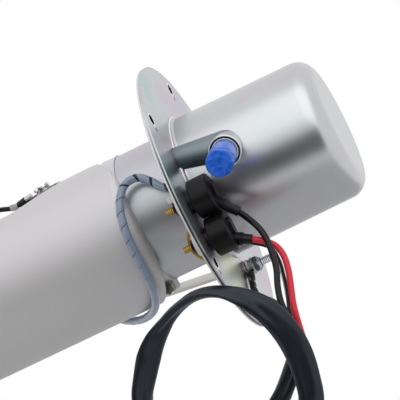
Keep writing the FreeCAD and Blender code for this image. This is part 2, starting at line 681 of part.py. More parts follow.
def flat_place(thing, down, out="0", side="0"):
    """Put a piece on the sloped part of the tube's flat, its +Z pointing out of the tube."""
    lean = math.degrees(math.atan2(size("flat_depth"), size("flat_full") - size("flat_start")))
    turn = Rotation(Vector(0, 1, 0), -90 - lean)
    ratio = "(flat_depth / (flat_full - flat_start))"
    inward = "(%s) * %s" % (out, math.cos(math.radians(lean)))
    lower = "(%s) * %s" % (out, math.sin(math.radians(lean)))
    return place(thing, "-(tube_radius - ((%s) - flat_start) * %s) - %s" % (down, ratio, inward), side,
                 "-(%s) - %s" % (down, lower), turn)


def earth_point():
    down = "earth_screw_drop"
    pad_plate = box("lug_pad_length", "lug_pad_width", "lug_pad_thick", "11.5 - lug_pad_length",
                    "-lug_pad_width / 2", "0")
    hole = cylinder("2.2", "6", z="-1")
    keep(flat_place(cut(pad_plate, hole), down, "0.02"), "earth_pad")
    first = "lug_pad_thick + 0.04"
    washer = flat_place(cut(cylinder("earth_washer_radius", "earth_washer_thick"), cylinder("2.2", "4", z="-1")),
                        down, first)
    eye_out = "lug_pad_thick + earth_washer_thick + 0.06"
    barrel_turn = Rotation(Vector(0, 1, 0), -90)
    eye = fuse(cylinder("earth_lock_radius + 0.6", "lug_thin"), box("9", "4.4", "lug_thin", "-11", "-2.2", "0"),
               cylinder("2.2", "9", "-9", "0", "1.9", barrel_turn))
    eye_cut = cut(eye, cylinder("2.2", "4", z="-1"), cylinder("1.35", "6", "-13", "0", "1.9", barrel_turn))
    keep(flat_place(eye_cut, down, eye_out), "earth_ring_terminal")
    lock_out = "(%s) + lug_thin + 0.02" % eye_out
    lock = flat_place(cut(cylinder("earth_lock_radius", "earth_lock_thick"), cylinder("2.2", "4", z="-1"),
                          box("6", "0.7", "4", "0", "0", "-1")), down, lock_out)
    keep(group(washer, lock), "earth_washers")
    head = rounded(cylinder("earth_screw_head", "earth_screw_head_height"), lambda e: is_circle(
        e, z=size("earth_screw_head_height")), "1.6")
    slot_a = box("6", "1.1", "2", "-3", "-0.55", "earth_screw_head_height - 1.6")
    slot_b = box("1.1", "6", "2", "-0.55", "-3", "earth_screw_head_height - 1.6")
    shank = cylinder("earth_screw_radius", "6.5", z="-6.5")
    keep(flat_place(fuse(cut(head, slot_a, slot_b), shank), down, "(%s) + earth_lock_thick + 0.02" % lock_out),
         "earth_screw")


# Cords: plain tubes of straight runs joined by tangent arcs

def cord_path(points):
    """Edges along a route, each corner rounded by an arc as large as its runs allow."""
    edges = []
    radii = []
    start = points[0]
    for before, corner, after in zip(points, points[1:], points[2:]):
        back = before - corner
        ahead = after - corner
        half = (math.pi - back.getAngle(ahead)) / 2
        radius = 0.45 * min(back.Length, ahead.Length) / math.tan(half)
        radii.append(radius)
        reach = radius * math.tan(half)
        first = corner + Vector(back).normalize() * reach
        last = corner + Vector(ahead).normalize() * reach
        inward = (Vector(back).normalize() + Vector(ahead).normalize()).normalize()
        middle = corner + inward * (radius / math.cos(half) - radius)
        edges.append(Part.LineSegment(start, first).toShape())
        edges.append(Part.Arc(first, middle, last).toShape())
        start = last
    edges.append(Part.LineSegment(start, points[-1]).toShape())
    return Part.Wire(edges), radii


def cord(label, points, radius):
    """A round tube along a route, checked against its section times its length."""
    path, radii = cord_path(points)
    section = Part.Wire(Part.makeCircle(radius, points[0], points[1] - points[0]))
    solid = path.makePipeShell([section], True, False)
    ideal = math.pi * radius ** 2 * path.Length
    print("%s: length %.0f, smallest radius %.1f (%.1f diameters), volume ratio %.4f"
          % (label, path.Length, min(radii), min(radii) / (2 * radius), solid.Volume / ideal))
    thing = doc.addObject("Part::Feature", label)
    thing.Shape = solid
    thing.Placement = Placement()
    keep(thing, label)


LOOM_MOUTH = Vector(106.0, -96.0, 34.5)
LOOM_WAY = Vector(0.75, 0.0, -0.66).normalize()
ACROSS = Vector(0, 1, 0)
UPWARD = Vector(0.66, 0.0, 0.75).normalize()

LOOM_ROUTE = [(118.6, -96, 23.4), (130.9, -96, 11.4), (141, -96, -2), (147.3, -96.5, -17), (148.2, -97.5, -32.7),
              (143.6, -99.2, -47.7), (133.9, -101.6, -60), (120.5, -104.4, -67.6), (105, -107, -69.4),
              (89.4, -109, -65.1), (75.2, -110.1, -55.6), (63.7, -110.5, -42.1), (56.3, -110.4, -26.5),
              (54.2, -110.2, -10.3), (57.8, -110, 5), (67, -110, 17.9), (80.6, -110, 27.3), (97.1, -110, 32.7),
              (114.7, -110.1, 33.5), (131.7, -110.1, 29.8), (146.4, -109.9, 21.6), (157.2, -109.5, 9.6),
              (163, -108.8, -5.2), (163, -108, -22)]

# The strands' places in the loom's mouth, across and upward from its axis
STRANDS = {
    "wire_black": ("wire_radius", (-2.5, 0.6),
                   [(28.8, -66, 35.4), (38.9, -70.6, 38.6), (49.5, -77.3, 39.3), (60.5, -84.3, 39.4),
                    (72.1, -90.5, 40), (83.9, -95.5, 40.9), (95.5, -98.5, 40.2)]),
    "wire_red": ("wire_radius", (1.9, 1.9),
                 [(43.3, -68, 39.4), (52.1, -72.3, 44.4), (63, -78.3, 45.7), (74.6, -84.8, 45.2),
                  (85.9, -90.5, 43.7), (96.8, -94.1, 40.9)]),
    "wire_white": ("thin_wire_radius", (2.8, -1.7),
                   [(39.3, -59.2, 27.8), (46.4, -62.6, 34.8), (54.6, -68.5, 39.1), (63.9, -75.3, 40.9),
                    (74, -82.3, 40.9), (84.3, -88.8, 40.2), (94.7, -93.2, 38.1)]),
    "wire_thin": ("thin_wire_radius", (0.4, -2.2),
                  [(43.2, -60.5, 26), (50.6, -63.6, 32.1), (58.4, -69.3, 36), (66.9, -76.4, 37.8),
                   (75.9, -84, 38.6), (85.3, -91.1, 38.8), (94.9, -95.6, 37.5)]),
    "wire_ground": ("thin_wire_radius", (-2.3, -3.3),
                    [(73, -23.6, 6.3), (75.3, -35.8, 9.1), (75.4, -48.8, 14), (75.8, -61.9, 20.1),
                     (78.4, -74.1, 26.6), (83.8, -84.9, 32.1), (92.3, -93.2, 34.6)]),
}

CABLE_ROUTE = [(-13.5, -50.6, -5.5), (-17.3, -50.4, -12.3), (-23.7, -48.3, -17.2), (-29.5, -46.2, -22.7),
               (-31.9, -45.6, -29.5), (-29.8, -47.2, -36.2), (-24.3, -50.3, -40.8), (-17.3, -53.5, -43.5),
               (-9.8, -55.9, -45), (-2.1, -57, -46), (5.6, -56.9, -46.6), (13.3, -55.6, -46.9),
               (20.8, -53.2, -47.2), (27.8, -49.8, -47.7), (34.3, -45.5, -48.7), (40, -40.4, -50.3),
               (44.9, -34.8, -52.5), (48.9, -28.7, -55.4), (51.9, -22.4, -58.9), (54.1, -16, -62.9),
               (55.5, -9.6, -67.2), (56.3, -3.3, -71.9), (56.6, 2.8, -76.7), (56.2, 8.9, -81.6),
               (55.2, 14.7, -86.7), (53.5, 20.4, -91.8), (51.2, 25.7, -97.1), (48.6, 30.6, -102.6)]

# The tube's radius where the route above was taken
ROUTE_TUBE_RADIUS = 52.3

# Its first number is the distance out from the tube's flat
EARTH_WIRE_ROUTE = [(5.6, 0.1, -130.3), (7.6, 0.3, -136.4), (8.3, 0.6, -143.4), (7.2, 0.7, -150.2),
                    (5, 0.4, -156.4)]

LEAD_ROUTE = [(11, -62, -0.1), (12.8, -62, -4.6), (16.8, -62, -8.2), (22, -62, -10.4), (27.8, -62, -10.4),
              (33, -62, -8.2), (37, -62, -4.6), (38.8, -62, -0.1)]


def vectors(route):
    return [Vector(*point) for point in route]


def beside_tube(route):
    """A route that moves outwards or inwards with the tube's side."""
    moved = []
    for point in vectors(route):
        way = Vector(point.x, point.y, 0).normalize()
        moved.append(point + way * (size("tube_radius") - ROUTE_TUBE_RADIUS))
    return moved


def before_flat(route):
    """A route in front of the tube's flat, which faces -X."""
    return [Vector(-(size("tube_radius") - size("flat_depth")) - out, y, z) for out, y, z in route]


def strand_starts():
    """Where each strand leaves the sleeve, boot or ring terminal that holds it."""
    top = size("flange_thick") + size("insulator_height") + size("boot_height")
    reach = -size("terminal_reach")
    boot_b = value_of(terminal_x(1))
    starts = {}
    for name, label in (("wire_black", "terminal_boot_a"), ("wire_red", "terminal_boot_b")):
        way = Vector(SNOUTS[label][2]).normalize()
        starts[name] = snout_start(label) + way * (size("snout_length") + SLEEVES[label])
    starts["wire_white"] = Vector(boot_b + 7.9, reach + 5.6, top + 0.7)
    starts["wire_thin"] = Vector(boot_b + 9.9, reach + 3.2, top + 0.9)
    turn = math.radians(-52.7)
    lift = size("flange_thick") + size("ground_washer_thick") + 1.6
    starts["wire_ground"] = Vector(size("ground_side") + 17 * math.cos(turn), 17 * math.sin(turn), lift)
    return starts


def cords():
    starts = strand_starts()
    for name, (radius, (across, upward), middle) in STRANDS.items():
        end = LOOM_MOUTH - LOOM_WAY * 0.3 + ACROSS * across + UPWARD * upward
        cord(name, [starts[name]] + vectors(middle) + [end], size(radius))
    cord("loom_sleeve", [LOOM_MOUTH] + vectors(LOOM_ROUTE), size("loom_radius"))
    cord("wrapped_cable", beside_tube(CABLE_ROUTE), size("cable_radius"))
    cord("terminal_lead", vectors(LEAD_ROUTE), size("thin_wire_radius"))
    lean = math.atan2(size("flat_depth"), size("flat_full") - size("flat_start"))
    down = size("earth_screw_drop")
    surface = size("tube_radius") - (down - size("flat_start")) * math.tan(lean)
    out = size("lug_pad_thick") + size("earth_washer_thick") + 0.06 + 1.9
    out_way = Vector(-math.cos(lean), 0, -math.sin(lean))
    down_way = Vector(math.sin(lean), 0, -math.cos(lean))
    start = Vector(-surface, 0, -down) + out_way * out + down_way * 18
    cord("earth_wire", [start, start + down_way * 6.5] + before_flat(EARTH_WIRE_ROUTE),
         size("earth_wire_radius"))


def cord_fittings():
    first, second = beside_tube(CABLE_ROUTE[:2])
    sleeve = place(cylinder("cable_grommet_radius", "12"), str(first.x), str(first.y), str(first.z),
                   Rotation(Vector(0, 0, 1), first - second))
    keep(cut(sleeve, box("80", "80", "20", str(first.x - 40), str(first.y - 40), "seat_relief")),
         "cable_grommet")
    last, end = beside_tube(CABLE_ROUTE[-2:])
    gland = place(cone("cable_radius + 1.4", "cable_radius + 0.8", "12"), str(end.x), str(end.y), str(end.z),
                  Rotation(Vector(0, 0, 1), end - last))
    keep(cut(gland, cylinder("tube_radius + 0.02", "tube_length", z="-tube_length")), "cable_entry")
    last, end = vectors(LOOM_ROUTE[-2:])
    turn = Rotation(Vector(0, 0, 1), end - last)
    plug = fuse(rounded(box("plug_width", "plug_thick", "plug_length", "-plug_width / 2", "-plug_thick / 2", "3"),
                        lambda e: abs(e.tangentAt(e.FirstParameter).z) > 0.9, "2"),
                cylinder("loom_radius + 0.4", "3.1"))
    socket = box("plug_width - 4", "plug_thick - 4", "10", "-plug_width / 2 + 2", "-plug_thick / 2 + 2",
                 "plug_length - 6")
    keep(place(cut(plug, socket), str(end.x), str(end.y), str(end.z), turn), "harness_plug")
    last, end = before_flat(EARTH_WIRE_ROUTE[-2:])
    turn = Rotation(Vector(0, 0, 1), end - last)
    flat = box("20", "60", "60", "-(tube_radius - flat_depth) - 0.02", "-30", "-190")
    knob = place(cylinder("earth_wire_radius + 2", "11"), str(end.x), str(end.y), str(end.z), turn)
    keep(cut(knob, flat), "earth_wire_grommet")
    tie = cut(cylinder("earth_wire_radius + 1.4", "2.6"), cylinder("earth_wire_radius + 0.45", "5", z="-1"))
    tail = box("7.2 - earth_wire_radius", "0.9", "2.2", "earth_wire_radius + 0.6", "-0.45", "0.2")
    keep(place(fuse(tie, tail), "flat_depth - tube_radius - 7.9", "0.4", "-139.5"), "cable_tie")


# Inside: filter, motor, turbine and check valve

def filter_element():
    body = new_body("filter_element", x="-cup_offset", z="flange_thick")
    disc = new_sketch(body)
    draw_circle(disc, "filter_radius")
    draw_circle(disc, "filter_bore")
    pad(body, disc, "filter_height")
    groove = new_sketch(body)
    half = "filter_radius * 0.05"
    draw_outline(groove, [("filter_radius + 2", half), ("filter_radius * 0.86", "0"),
                          ("filter_radius + 2", "-(%s)" % half)])
    one = pocket(body, groove, "filter_height", up=True)
    pattern(body, one, "filter_pleats")
    keep(body, "filter_element")


def motor():
    x = "-canister_offset"
    top = "-motor_top"
    low = "-motor_top - motor_height"
    keep(cut(cylinder("motor_radius", "motor_height", x, 0, low),
             cylinder("motor_radius - motor_wall", "motor_height + 2", x, 0, "%s - 1" % low)), "motor_case")
    magnet_r = "motor_radius - motor_wall - 0.02"
    mag_low = "%s + 20" % low
    half = box("120", "60", "200", "-60 - canister_offset", "8", "-200")
    other = box("120", "60", "200", "-60 - canister_offset", "-68", "-200")
    both = []
    for side in (half, other):
        arc = ring(magnet_r, "%s - magnet_thick" % magnet_r, "armature_height + 4", x, 0, mag_low)
        both.append(common(arc, side))
    keep(group(*both), "field_magnets")
    arm_r = "%s - magnet_thick - magnet_gap" % magnet_r
    arm_low = "%s + 2" % mag_low
    body = new_body("armature", x=x, z=arm_low)
    core = new_sketch(body)
    draw_circle(core, arm_r)
    draw_circle(core, "shaft_radius")
    pad(body, core, "armature_height")
    slot = new_sketch(body)
    draw_outline(slot, [("(%s) + 2" % arm_r, "1.4"), ("(%s) - 9" % arm_r, "1.4"), ("(%s) - 9" % arm_r, "-1.4"),
                        ("(%s) + 2" % arm_r, "-1.4")])
    one = pocket(body, slot, "armature_height", up=True)
    pattern(body, one, "armature_slots")
    keep(body, "armature")
    com_low = "%s + armature_height + 1" % arm_low
    keep(ring("commutator_radius", "shaft_radius", "commutator_height", x, 0, com_low), "commutator")
    brush_y = "commutator_radius + 0.3"
    brush_low = "%s + 2" % com_low
    brushes = [box("brush_width", "brush_length", "brush_height", "%s - brush_width / 2" % x, brush_side, brush_low)
               for brush_side in (brush_y, "-(%s) - brush_length" % brush_y)]
    keep(group(*brushes), "brushes")
    plate = cylinder("motor_radius - motor_wall - 0.02", "-motor_top + 0.5 - (%s + 1)" % com_low, x, 0,
                     "%s + 1" % com_low)
    middle = cylinder("commutator_radius + 3", "brush_height + 12", x, 0, "%s - 3" % com_low)
    slot_end = "commutator_radius + brush_length + 0.4"
    slots = box("brush_width + 0.1", "2 * (%s)" % slot_end, "brush_height + 0.1",
                "%s - brush_width / 2 - 0.05" % x, "-(%s)" % slot_end, "%s + 1.95" % com_low)
    cover_low = "-motor_top"
    seat = "bearing_radius + 0.02"
    cover = cut(cylinder("motor_radius", "cover_thick", x, 0, cover_low),
                cylinder(seat, "30", x, 0, "%s - 10" % cover_low))
    keep(fuse(cut(plate, middle, slots), cover), "brush_holder")
    bore = "shaft_radius + bearing_gap"
    upper = ring("bearing_radius", bore, "bearing_height", x, 0, "%s - 0.5" % cover_low)
    base_low = "%s - base_thick" % low
    base = cut(cylinder("motor_radius", "base_thick", x, 0, base_low),
               cylinder(seat, "base_thick + 4", x, 0, "%s - 1" % base_low))
    keep(base, "pump_upper_housing")
    keep(group(upper, ring("bearing_radius", bore, "bearing_height", x, 0, "%s + 1.5" % base_low)), "bearings")
    chamber = "impeller_height + 2 * chamber_gap"
    wall_low = "%s - (%s)" % (base_low, chamber)
    side_wall = ring("motor_radius", "impeller_radius + chamber_gap", chamber, x, 0, wall_low)
    floor = "canister_wall - canister_length"
    cover_plate = cylinder("motor_radius", "(%s) - (%s)" % (wall_low, floor), x, 0, floor)
    pit = cylinder("shaft_radius + 1", "3", x, 0, "%s - 2" % wall_low)
    duct = cylinder("4", "40", "%s + impeller_radius - 11" % x, 0, "%s - 39" % wall_low)
    keep(fuse(side_wall, cut(cover_plate, pit, duct)), "pump_lower_housing")
    wheel(x, "%s + chamber_gap" % wall_low)
    shaft_low = "%s - 1" % wall_low
    keep(cylinder("shaft_radius", "(%s) + 4 - (%s)" % (cover_low, shaft_low), x, 0, shaft_low), "motor_shaft")


def wheel(x, low):
    """The turbine wheel: a disc whose rim is cut into short vanes."""
    body = new_body("impeller", x=x, z=low)
    disc = new_sketch(body)
    draw_circle(disc, "impeller_radius")
    draw_circle(disc, "shaft_radius")
    pad(body, disc, "impeller_height")
    gap = new_sketch(body)
    draw_outline(gap, [("impeller_radius + 1", "1.6"), ("impeller_radius - 5", "1.1"),
                       ("impeller_radius - 5", "-1.1"), ("impeller_radius + 1", "-1.6")])
    one = pocket(body, gap, "impeller_height", up=True)
    pattern(body, one, "impeller_vanes")
    keep(body, "impeller")


def check_valve():
    """The outlet tower over the motor with its spring-loaded poppet."""
    x = "-canister_offset"
    low = "cover_thick - motor_top"
    tower = cylinder("tower_radius", "tower_height", x, 0, low)
    throat = cylinder("poppet_radius - 1.6", "tower_height + 2", x, 0, "%s - 1" % low)
    bore = cylinder("tower_bore", "tower_height", x, 0, "%s + 16" % low)
    foot = cylinder("motor_radius - 4", "3", x, 0, low)
    shaft_room = cylinder("bearing_radius + 0.3", "3.5", x, 0, "%s - 2" % low)
    seat = "%s + 16" % low
    stop_low = "%s + 3.1 + 12" % seat
    stop = cut(cylinder("tower_bore + 0.5", "3", x, 0, stop_low), cylinder("3.2", "6", x, 0, "%s - 1" % stop_low))
    keep(fuse(cut(fuse(tower, foot), throat, bore, shaft_room), stop), "outlet_tower")
    disc = cylinder("poppet_radius", "3", x, 0, "%s + 0.02" % seat)
    stem = cylinder("1.8", "9", x, 0, "%s + 2" % seat)
    keep(fuse(disc, stem), "check_poppet")
    coil = "tower_bore - 1.6"
    spring_low = "%s + 3.1" % seat
    turns = size("valve_spring_turns")
    wire = size("valve_spring_wire")
    height = 12.0
    helix = Part.makeHelix((height - 2 * wire) / turns, height - 2 * wire, value_of(coil))
    section = Part.Wire(Part.makeCircle(wire, Vector(value_of(coil), 0, 0), Vector(0, 1, 0)))
    thing = doc.addObject("Part::Feature", "check_spring")
    thing.Shape = Part.Wire(helix.Edges).makePipeShell([section], True, True)
    thing.Placement = Placement(Vector(value_of(x), 0, value_of(spring_low) + wire), Rotation())
    keep(thing, "check_spring")


def tube_base():
    low = "-tube_length"
    plate = cylinder("tube_radius", "base_cap_thick", 0, 0, "%s - base_cap_thick" % low)
    spigot = cut(cylinder("tube_radius - tube_wall - 0.1", "6", 0, 0, low),
                 cylinder("tube_radius - tube_wall - 3", "8", 0, 0, "%s - 1" % low))
    neck = cylinder("inlet_radius", "inlet_length", 0, 0, "%s - base_cap_thick - inlet_length" % low)
    bore = cylinder("inlet_bore", "60", 0, 0, "%s - 40" % low)
    lid = cut(fuse(plate, neck), flat_block("0", "base_flat"))
    skirt = cut(spigot, flat_block("tube_wall + 0.1", "spigot_flat"))
    keep(cut(fuse(lid, skirt), bore), "tube_base")
    top = "%s - base_cap_thick - inlet_length + 8" % low
    bag = rounded(cylinder("strainer_radius", "strainer_height + 8", 0, 0, "%s - strainer_height - 8" % top),
                  lambda e: is_circle(e), "4")
    keep(cut(bag, cylinder("inlet_radius + 0.02", "10", 0, 0, "%s - 8.02" % top)), "inlet_strainer")


def build():
    mounting_flange()
    motor_cup()
    outlet_gallery()
    outlet_port()
    outlet_nipple()
    outlet_cap()
    terminals()
    terminal_boots()
    ground_stud()
    pump_canister()
    outer_tube()
    hose_clamp()
    support_strap()
    earth_point()
    cords()
    cord_fittings()
    filter_element()
    motor()
    check_valve()
    tube_base()
    doc.recompute()


def check_and_write():
    """Stop on anything that failed, then write one STEP file for each piece."""
    for item in doc.Objects:
        if "Invalid" in item.State or "Error" in item.State:
            raise ValueError("%s (%s) failed: %s" % (item.Name, item.Label, item.State))
    os.makedirs("parts", exist_ok=True)
    for piece in pieces:
        shape = piece.Shape
        if shape.isNull() or not shape.isValid() or not shape.Solids:
            raise ValueError("%s has no valid solid" % piece.Label)
        shape.exportStep("parts/%s.step" % piece.Label)
        if len(shape.Solids) > 1:
            print("%s: %d solids" % (piece.Label, len(shape.Solids)))
    print("%d pieces" % len(pieces))


build()
check_and_write()
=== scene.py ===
import math

import bpy
from mathutils import Matrix, Vector, noise as clouds


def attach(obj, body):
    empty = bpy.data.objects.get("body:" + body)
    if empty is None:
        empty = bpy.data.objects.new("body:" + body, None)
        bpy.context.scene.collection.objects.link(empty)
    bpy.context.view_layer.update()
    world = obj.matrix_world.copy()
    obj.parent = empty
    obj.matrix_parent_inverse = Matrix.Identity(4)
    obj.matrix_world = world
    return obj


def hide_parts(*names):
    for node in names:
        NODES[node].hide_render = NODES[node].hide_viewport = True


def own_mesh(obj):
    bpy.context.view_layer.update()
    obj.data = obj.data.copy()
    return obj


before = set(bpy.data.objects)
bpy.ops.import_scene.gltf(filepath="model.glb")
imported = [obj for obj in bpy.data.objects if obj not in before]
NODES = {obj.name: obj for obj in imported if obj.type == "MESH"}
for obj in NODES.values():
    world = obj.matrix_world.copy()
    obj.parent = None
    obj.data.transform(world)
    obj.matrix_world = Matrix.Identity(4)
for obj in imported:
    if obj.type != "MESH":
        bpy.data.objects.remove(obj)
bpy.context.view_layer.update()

# In-tank fuel pump. The frame is in metres: +Z is the pump's axis towards the motor cup,
# +X the ground stud's side and -Y the side of the terminals, which faces the camera.
# Lengths in this script are in millimetres, and mm() or MM turns them into metres.

MM = 0.001

# Sizes that the looks share with the CAD model
FLANGE_TOP = 3.2
FLANGE_RIM = 95.2
BOLT_CIRCLE, BOLT_COUNT, FIRST_BOLT_ANGLE, BOLT_HOLE_RADIUS = 86.0, 5, -62.0, 3.75
CUP_CENTRE_X, CUP_FOOT_RADIUS = -6.0, 51.8
GROUND_STUD = (55.5, 0.0)
TERMINALS = [("a", -1.0, -66.0), ("b", 25.5, -66.0)]
OUTLET_FACE, OUTLET_TURN = (-21.0, -58.0, 36.8), (math.radians(90), 0.0, math.radians(9.4))
VALVE_SPRING_LOW, VALVE_SPRING_TOP, VALVE_X = -48.4, -36.4, -4.8


# Hand tools

def deselect():
    bpy.ops.object.select_all(action="DESELECT")


def only(obj):
    """Make one object the only selected and active one."""
    deselect()
    obj.select_set(True)
    bpy.context.view_layer.objects.active = obj
    return obj


def apply_all(obj):
    """Apply an object's modifiers and its own placement."""
    only(obj)
    for modifier in list(obj.modifiers):
        bpy.ops.object.modifier_apply(modifier=modifier.name)
    bpy.ops.object.transform_apply(location=True, rotation=True, scale=True)
    return obj


def mm(*values):
    return Vector(values) * MM


def pick_faces(obj, wanted):
    """Select the faces of the mesh in edit mode for which wanted is true."""
    bpy.ops.mesh.select_all(action="DESELECT")
    bpy.ops.mesh.select_mode(type="FACE")
    bpy.ops.object.mode_set(mode="OBJECT")
    for face in obj.data.polygons:
        face.select = wanted(face)
    bpy.ops.object.mode_set(mode="EDIT")


def face_outwards(obj, smooth_below):
    """Turn every face of the active mesh outwards and shade it smooth below an angle in degrees."""
    bpy.ops.object.mode_set(mode="EDIT")
    bpy.ops.mesh.select_all(action="SELECT")
    bpy.ops.mesh.normals_make_consistent(inside=False)
    bpy.ops.object.mode_set(mode="OBJECT")
    bpy.ops.object.shade_smooth_by_angle(angle=math.radians(smooth_below))
    return obj


def finish_piece(obj, name, material, body="pump"):
    """Name a piece, give it its material and let it move with a body."""
    obj.name = name
    obj.data.name = name
    obj.data.materials.clear()
    obj.data.materials.append(material)
    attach(obj, body)
    return obj


# Shared node groups

def new_group(name, inputs, outputs):
    """An empty shader group with its sockets, and the nodes at its two ends."""
    tree = bpy.data.node_groups.new(name, "ShaderNodeTree")
    for label, kind, default in inputs:
        socket = tree.interface.new_socket(name=label, in_out="INPUT", socket_type=kind)
        if default is not None:
            socket.default_value = default
    for label, kind in outputs:
        tree.interface.new_socket(name=label, in_out="OUTPUT", socket_type=kind)
    start = tree.nodes.new("NodeGroupInput")
    end = tree.nodes.new("NodeGroupOutput")
    return tree, start, end


def noise(tree, vector, scale, detail=4.0, roughness=0.55):
    node = tree.nodes.new("ShaderNodeTexNoise")
    node.inputs["Scale"].default_value = scale
    node.inputs["Detail"].default_value = detail
    node.inputs["Roughness"].default_value = roughness
    tree.links.new(vector, node.inputs["Vector"])
    return node.outputs["Fac"]


def calc(tree, operation, a, b=None, c=None, clamp=False):
    """One Math node whose inputs are sockets or numbers."""
    node = tree.nodes.new("ShaderNodeMath")
    node.operation = operation
    node.use_clamp = clamp
    for index, value in enumerate((a, b, c)):
        if value is None:
            continue
        if isinstance(value, (int, float)):
            node.inputs[index].default_value = value
        else:
            tree.links.new(value, node.inputs[index])
    return node.outputs[0]


def object_parts(tree):
    """The X, Y and Z outputs of a point's place in the frame."""
    parts = tree.nodes.new("ShaderNodeSeparateXYZ")
    tree.links.new(tree.nodes.new("ShaderNodeTexCoord").outputs["Object"], parts.inputs[0])
    return parts.outputs


def square_distance(tree, place, x, y):
    """The squared distance in plan from a point given in millimetres."""
    across = calc(tree, "SUBTRACT", place["X"], x * MM)
    along = calc(tree, "SUBTRACT", place["Y"], y * MM)
    return calc(tree, "ADD", calc(tree, "MULTIPLY", across, across), calc(tree, "MULTIPLY", along, along))


def fade(tree, value, low, high):
    """0 to 1 while a place goes from low to high, in millimetres."""
    slope = 1 / ((high - low) * MM)
    return calc(tree, "MULTIPLY_ADD", value, slope, -low * MM * slope, clamp=True)


def blend_colour(tree, fac, a, b, mode="MIX"):
    """One Mix Color node whose inputs are sockets or colours."""
    node = tree.nodes.new("ShaderNodeMix")
    node.data_type = "RGBA"
    node.blend_type = mode
    for index, value in ((0, fac), (6, a), (7, b)):
        if isinstance(value, (int, float)):
            node.inputs[index].default_value = value
        elif isinstance(value, tuple):
            node.inputs[index].default_value = value
        else:
            tree.links.new(value, node.inputs[index])
    return node.outputs[2]


def colour(r, g, b):
    return (r, g, b, 1.0)


BLOTCH_SCALE, GRAIN_SCALE, GRAIN_HEIGHT = 38.0, 900.0, 0.08
# Reach and contrast of the painted shade that darkens crevices
CREVICE_REACH, CREVICE_CONTRAST = 3.0, 1.6


def surface_group():
    """Uneven tone, smudged roughness, painted shade that darkens crevices, softened edges and a fine grain for
    every piece.
    """
    tree, start, end = new_group(
        "Surface wear and painted shade",
        [("Colour", "NodeSocketColor", colour(0.8, 0.8, 0.8)), ("Roughness", "NodeSocketFloat", 0.4),
         ("Blotches", "NodeSocketFloat", 0.1), ("Grain", "NodeSocketFloat", 0.1),
         ("Edge radius", "NodeSocketFloat", 0.0004), ("Crevice shade", "NodeSocketFloat", 0.0)],
        [("Colour", "NodeSocketColor"), ("Roughness", "NodeSocketFloat"), ("Normal", "NodeSocketVector")])
    place = tree.nodes.new("ShaderNodeTexCoord").outputs["Object"]
    broad = noise(tree, place, BLOTCH_SCALE, 5.0)
    fine = noise(tree, place, GRAIN_SCALE, 2.0)
    smudge = calc(tree, "MULTIPLY", calc(tree, "SUBTRACT", broad, 0.5), start.outputs["Blotches"])
    tone = calc(tree, "ADD", smudge, 1.0)
    shaded = blend_colour(tree, 1.0, start.outputs["Colour"], tone, "MULTIPLY")
    # Painted shade: where ambient occlusion finds a place shut in, its colour darkens towards near black
    shut_in = tree.nodes.new("ShaderNodeAmbientOcclusion")
    shut_in.samples = 6
    shut_in.inputs["Distance"].default_value = CREVICE_REACH * MM
    openness = calc(tree, "POWER", shut_in.outputs["AO"], CREVICE_CONTRAST)
    painted_crevice_shade = calc(tree, "MULTIPLY", calc(tree, "SUBTRACT", 1.0, openness), start.outputs["Crevice shade"])
    shaded = blend_colour(tree, painted_crevice_shade, shaded, colour(0.01, 0.01, 0.01))
    rough = calc(tree, "ADD", start.outputs["Roughness"], smudge, clamp=True)
    edge = tree.nodes.new("ShaderNodeBevel")
    edge.samples = 4
    tree.links.new(start.outputs["Edge radius"], edge.inputs["Radius"])
    bump = tree.nodes.new("ShaderNodeBump")
    bump.inputs["Distance"].default_value = GRAIN_HEIGHT * MM
    tree.links.new(start.outputs["Grain"], bump.inputs["Strength"])
    tree.links.new(fine, bump.inputs["Height"])
    tree.links.new(edge.outputs[0], bump.inputs["Normal"])
    tree.links.new(shaded, end.inputs["Colour"])
    tree.links.new(rough, end.inputs["Roughness"])
    tree.links.new(bump.outputs[0], end.inputs["Normal"])
    return tree


def film_group():
    """The faint pink and green film of passivated zinc."""
    tree, start, end = new_group(
        "Zinc film",
        [("Colour", "NodeSocketColor", colour(0.7, 0.7, 0.7)), ("Strength", "NodeSocketFloat", 0.3)],
        [("Colour", "NodeSocketColor")])
    place = tree.nodes.new("ShaderNodeTexCoord").outputs["Object"]
    cloud = noise(tree, place, 16.0, 3.0, 0.6)
    ramp = tree.nodes.new("ShaderNodeValToRGB")
    tree.links.new(cloud, ramp.inputs["Fac"])
    stops = [(0.30, colour(0.70, 0.93, 0.92)), (0.45, colour(0.93, 0.97, 0.96)), (0.55, colour(1.0, 0.84, 0.93)),
             (0.68, colour(0.84, 0.86, 1.0))]
    elements = ramp.color_ramp.elements
    for index, (position, value) in enumerate(stops):
        element = elements[index] if index < 2 else elements.new(position)
        element.position = position
        element.color = value
    tinted = blend_colour(tree, 1.0, start.outputs["Colour"], ramp.outputs["Color"], "MULTIPLY")
    mixed = blend_colour(tree, start.outputs["Strength"], start.outputs["Colour"], tinted)
    tree.links.new(mixed, end.inputs["Colour"])
    return tree


# Painted highlight and painted shade on the flange's rim: the shares of the rim's thickness below which each lies,
# and where the shade fades out along X
HIGHLIGHT_SHARE, SHADE_LINE_SHARE = 0.33, 0.72
SHADE_FADE_FROM_TO = (-60, -20)


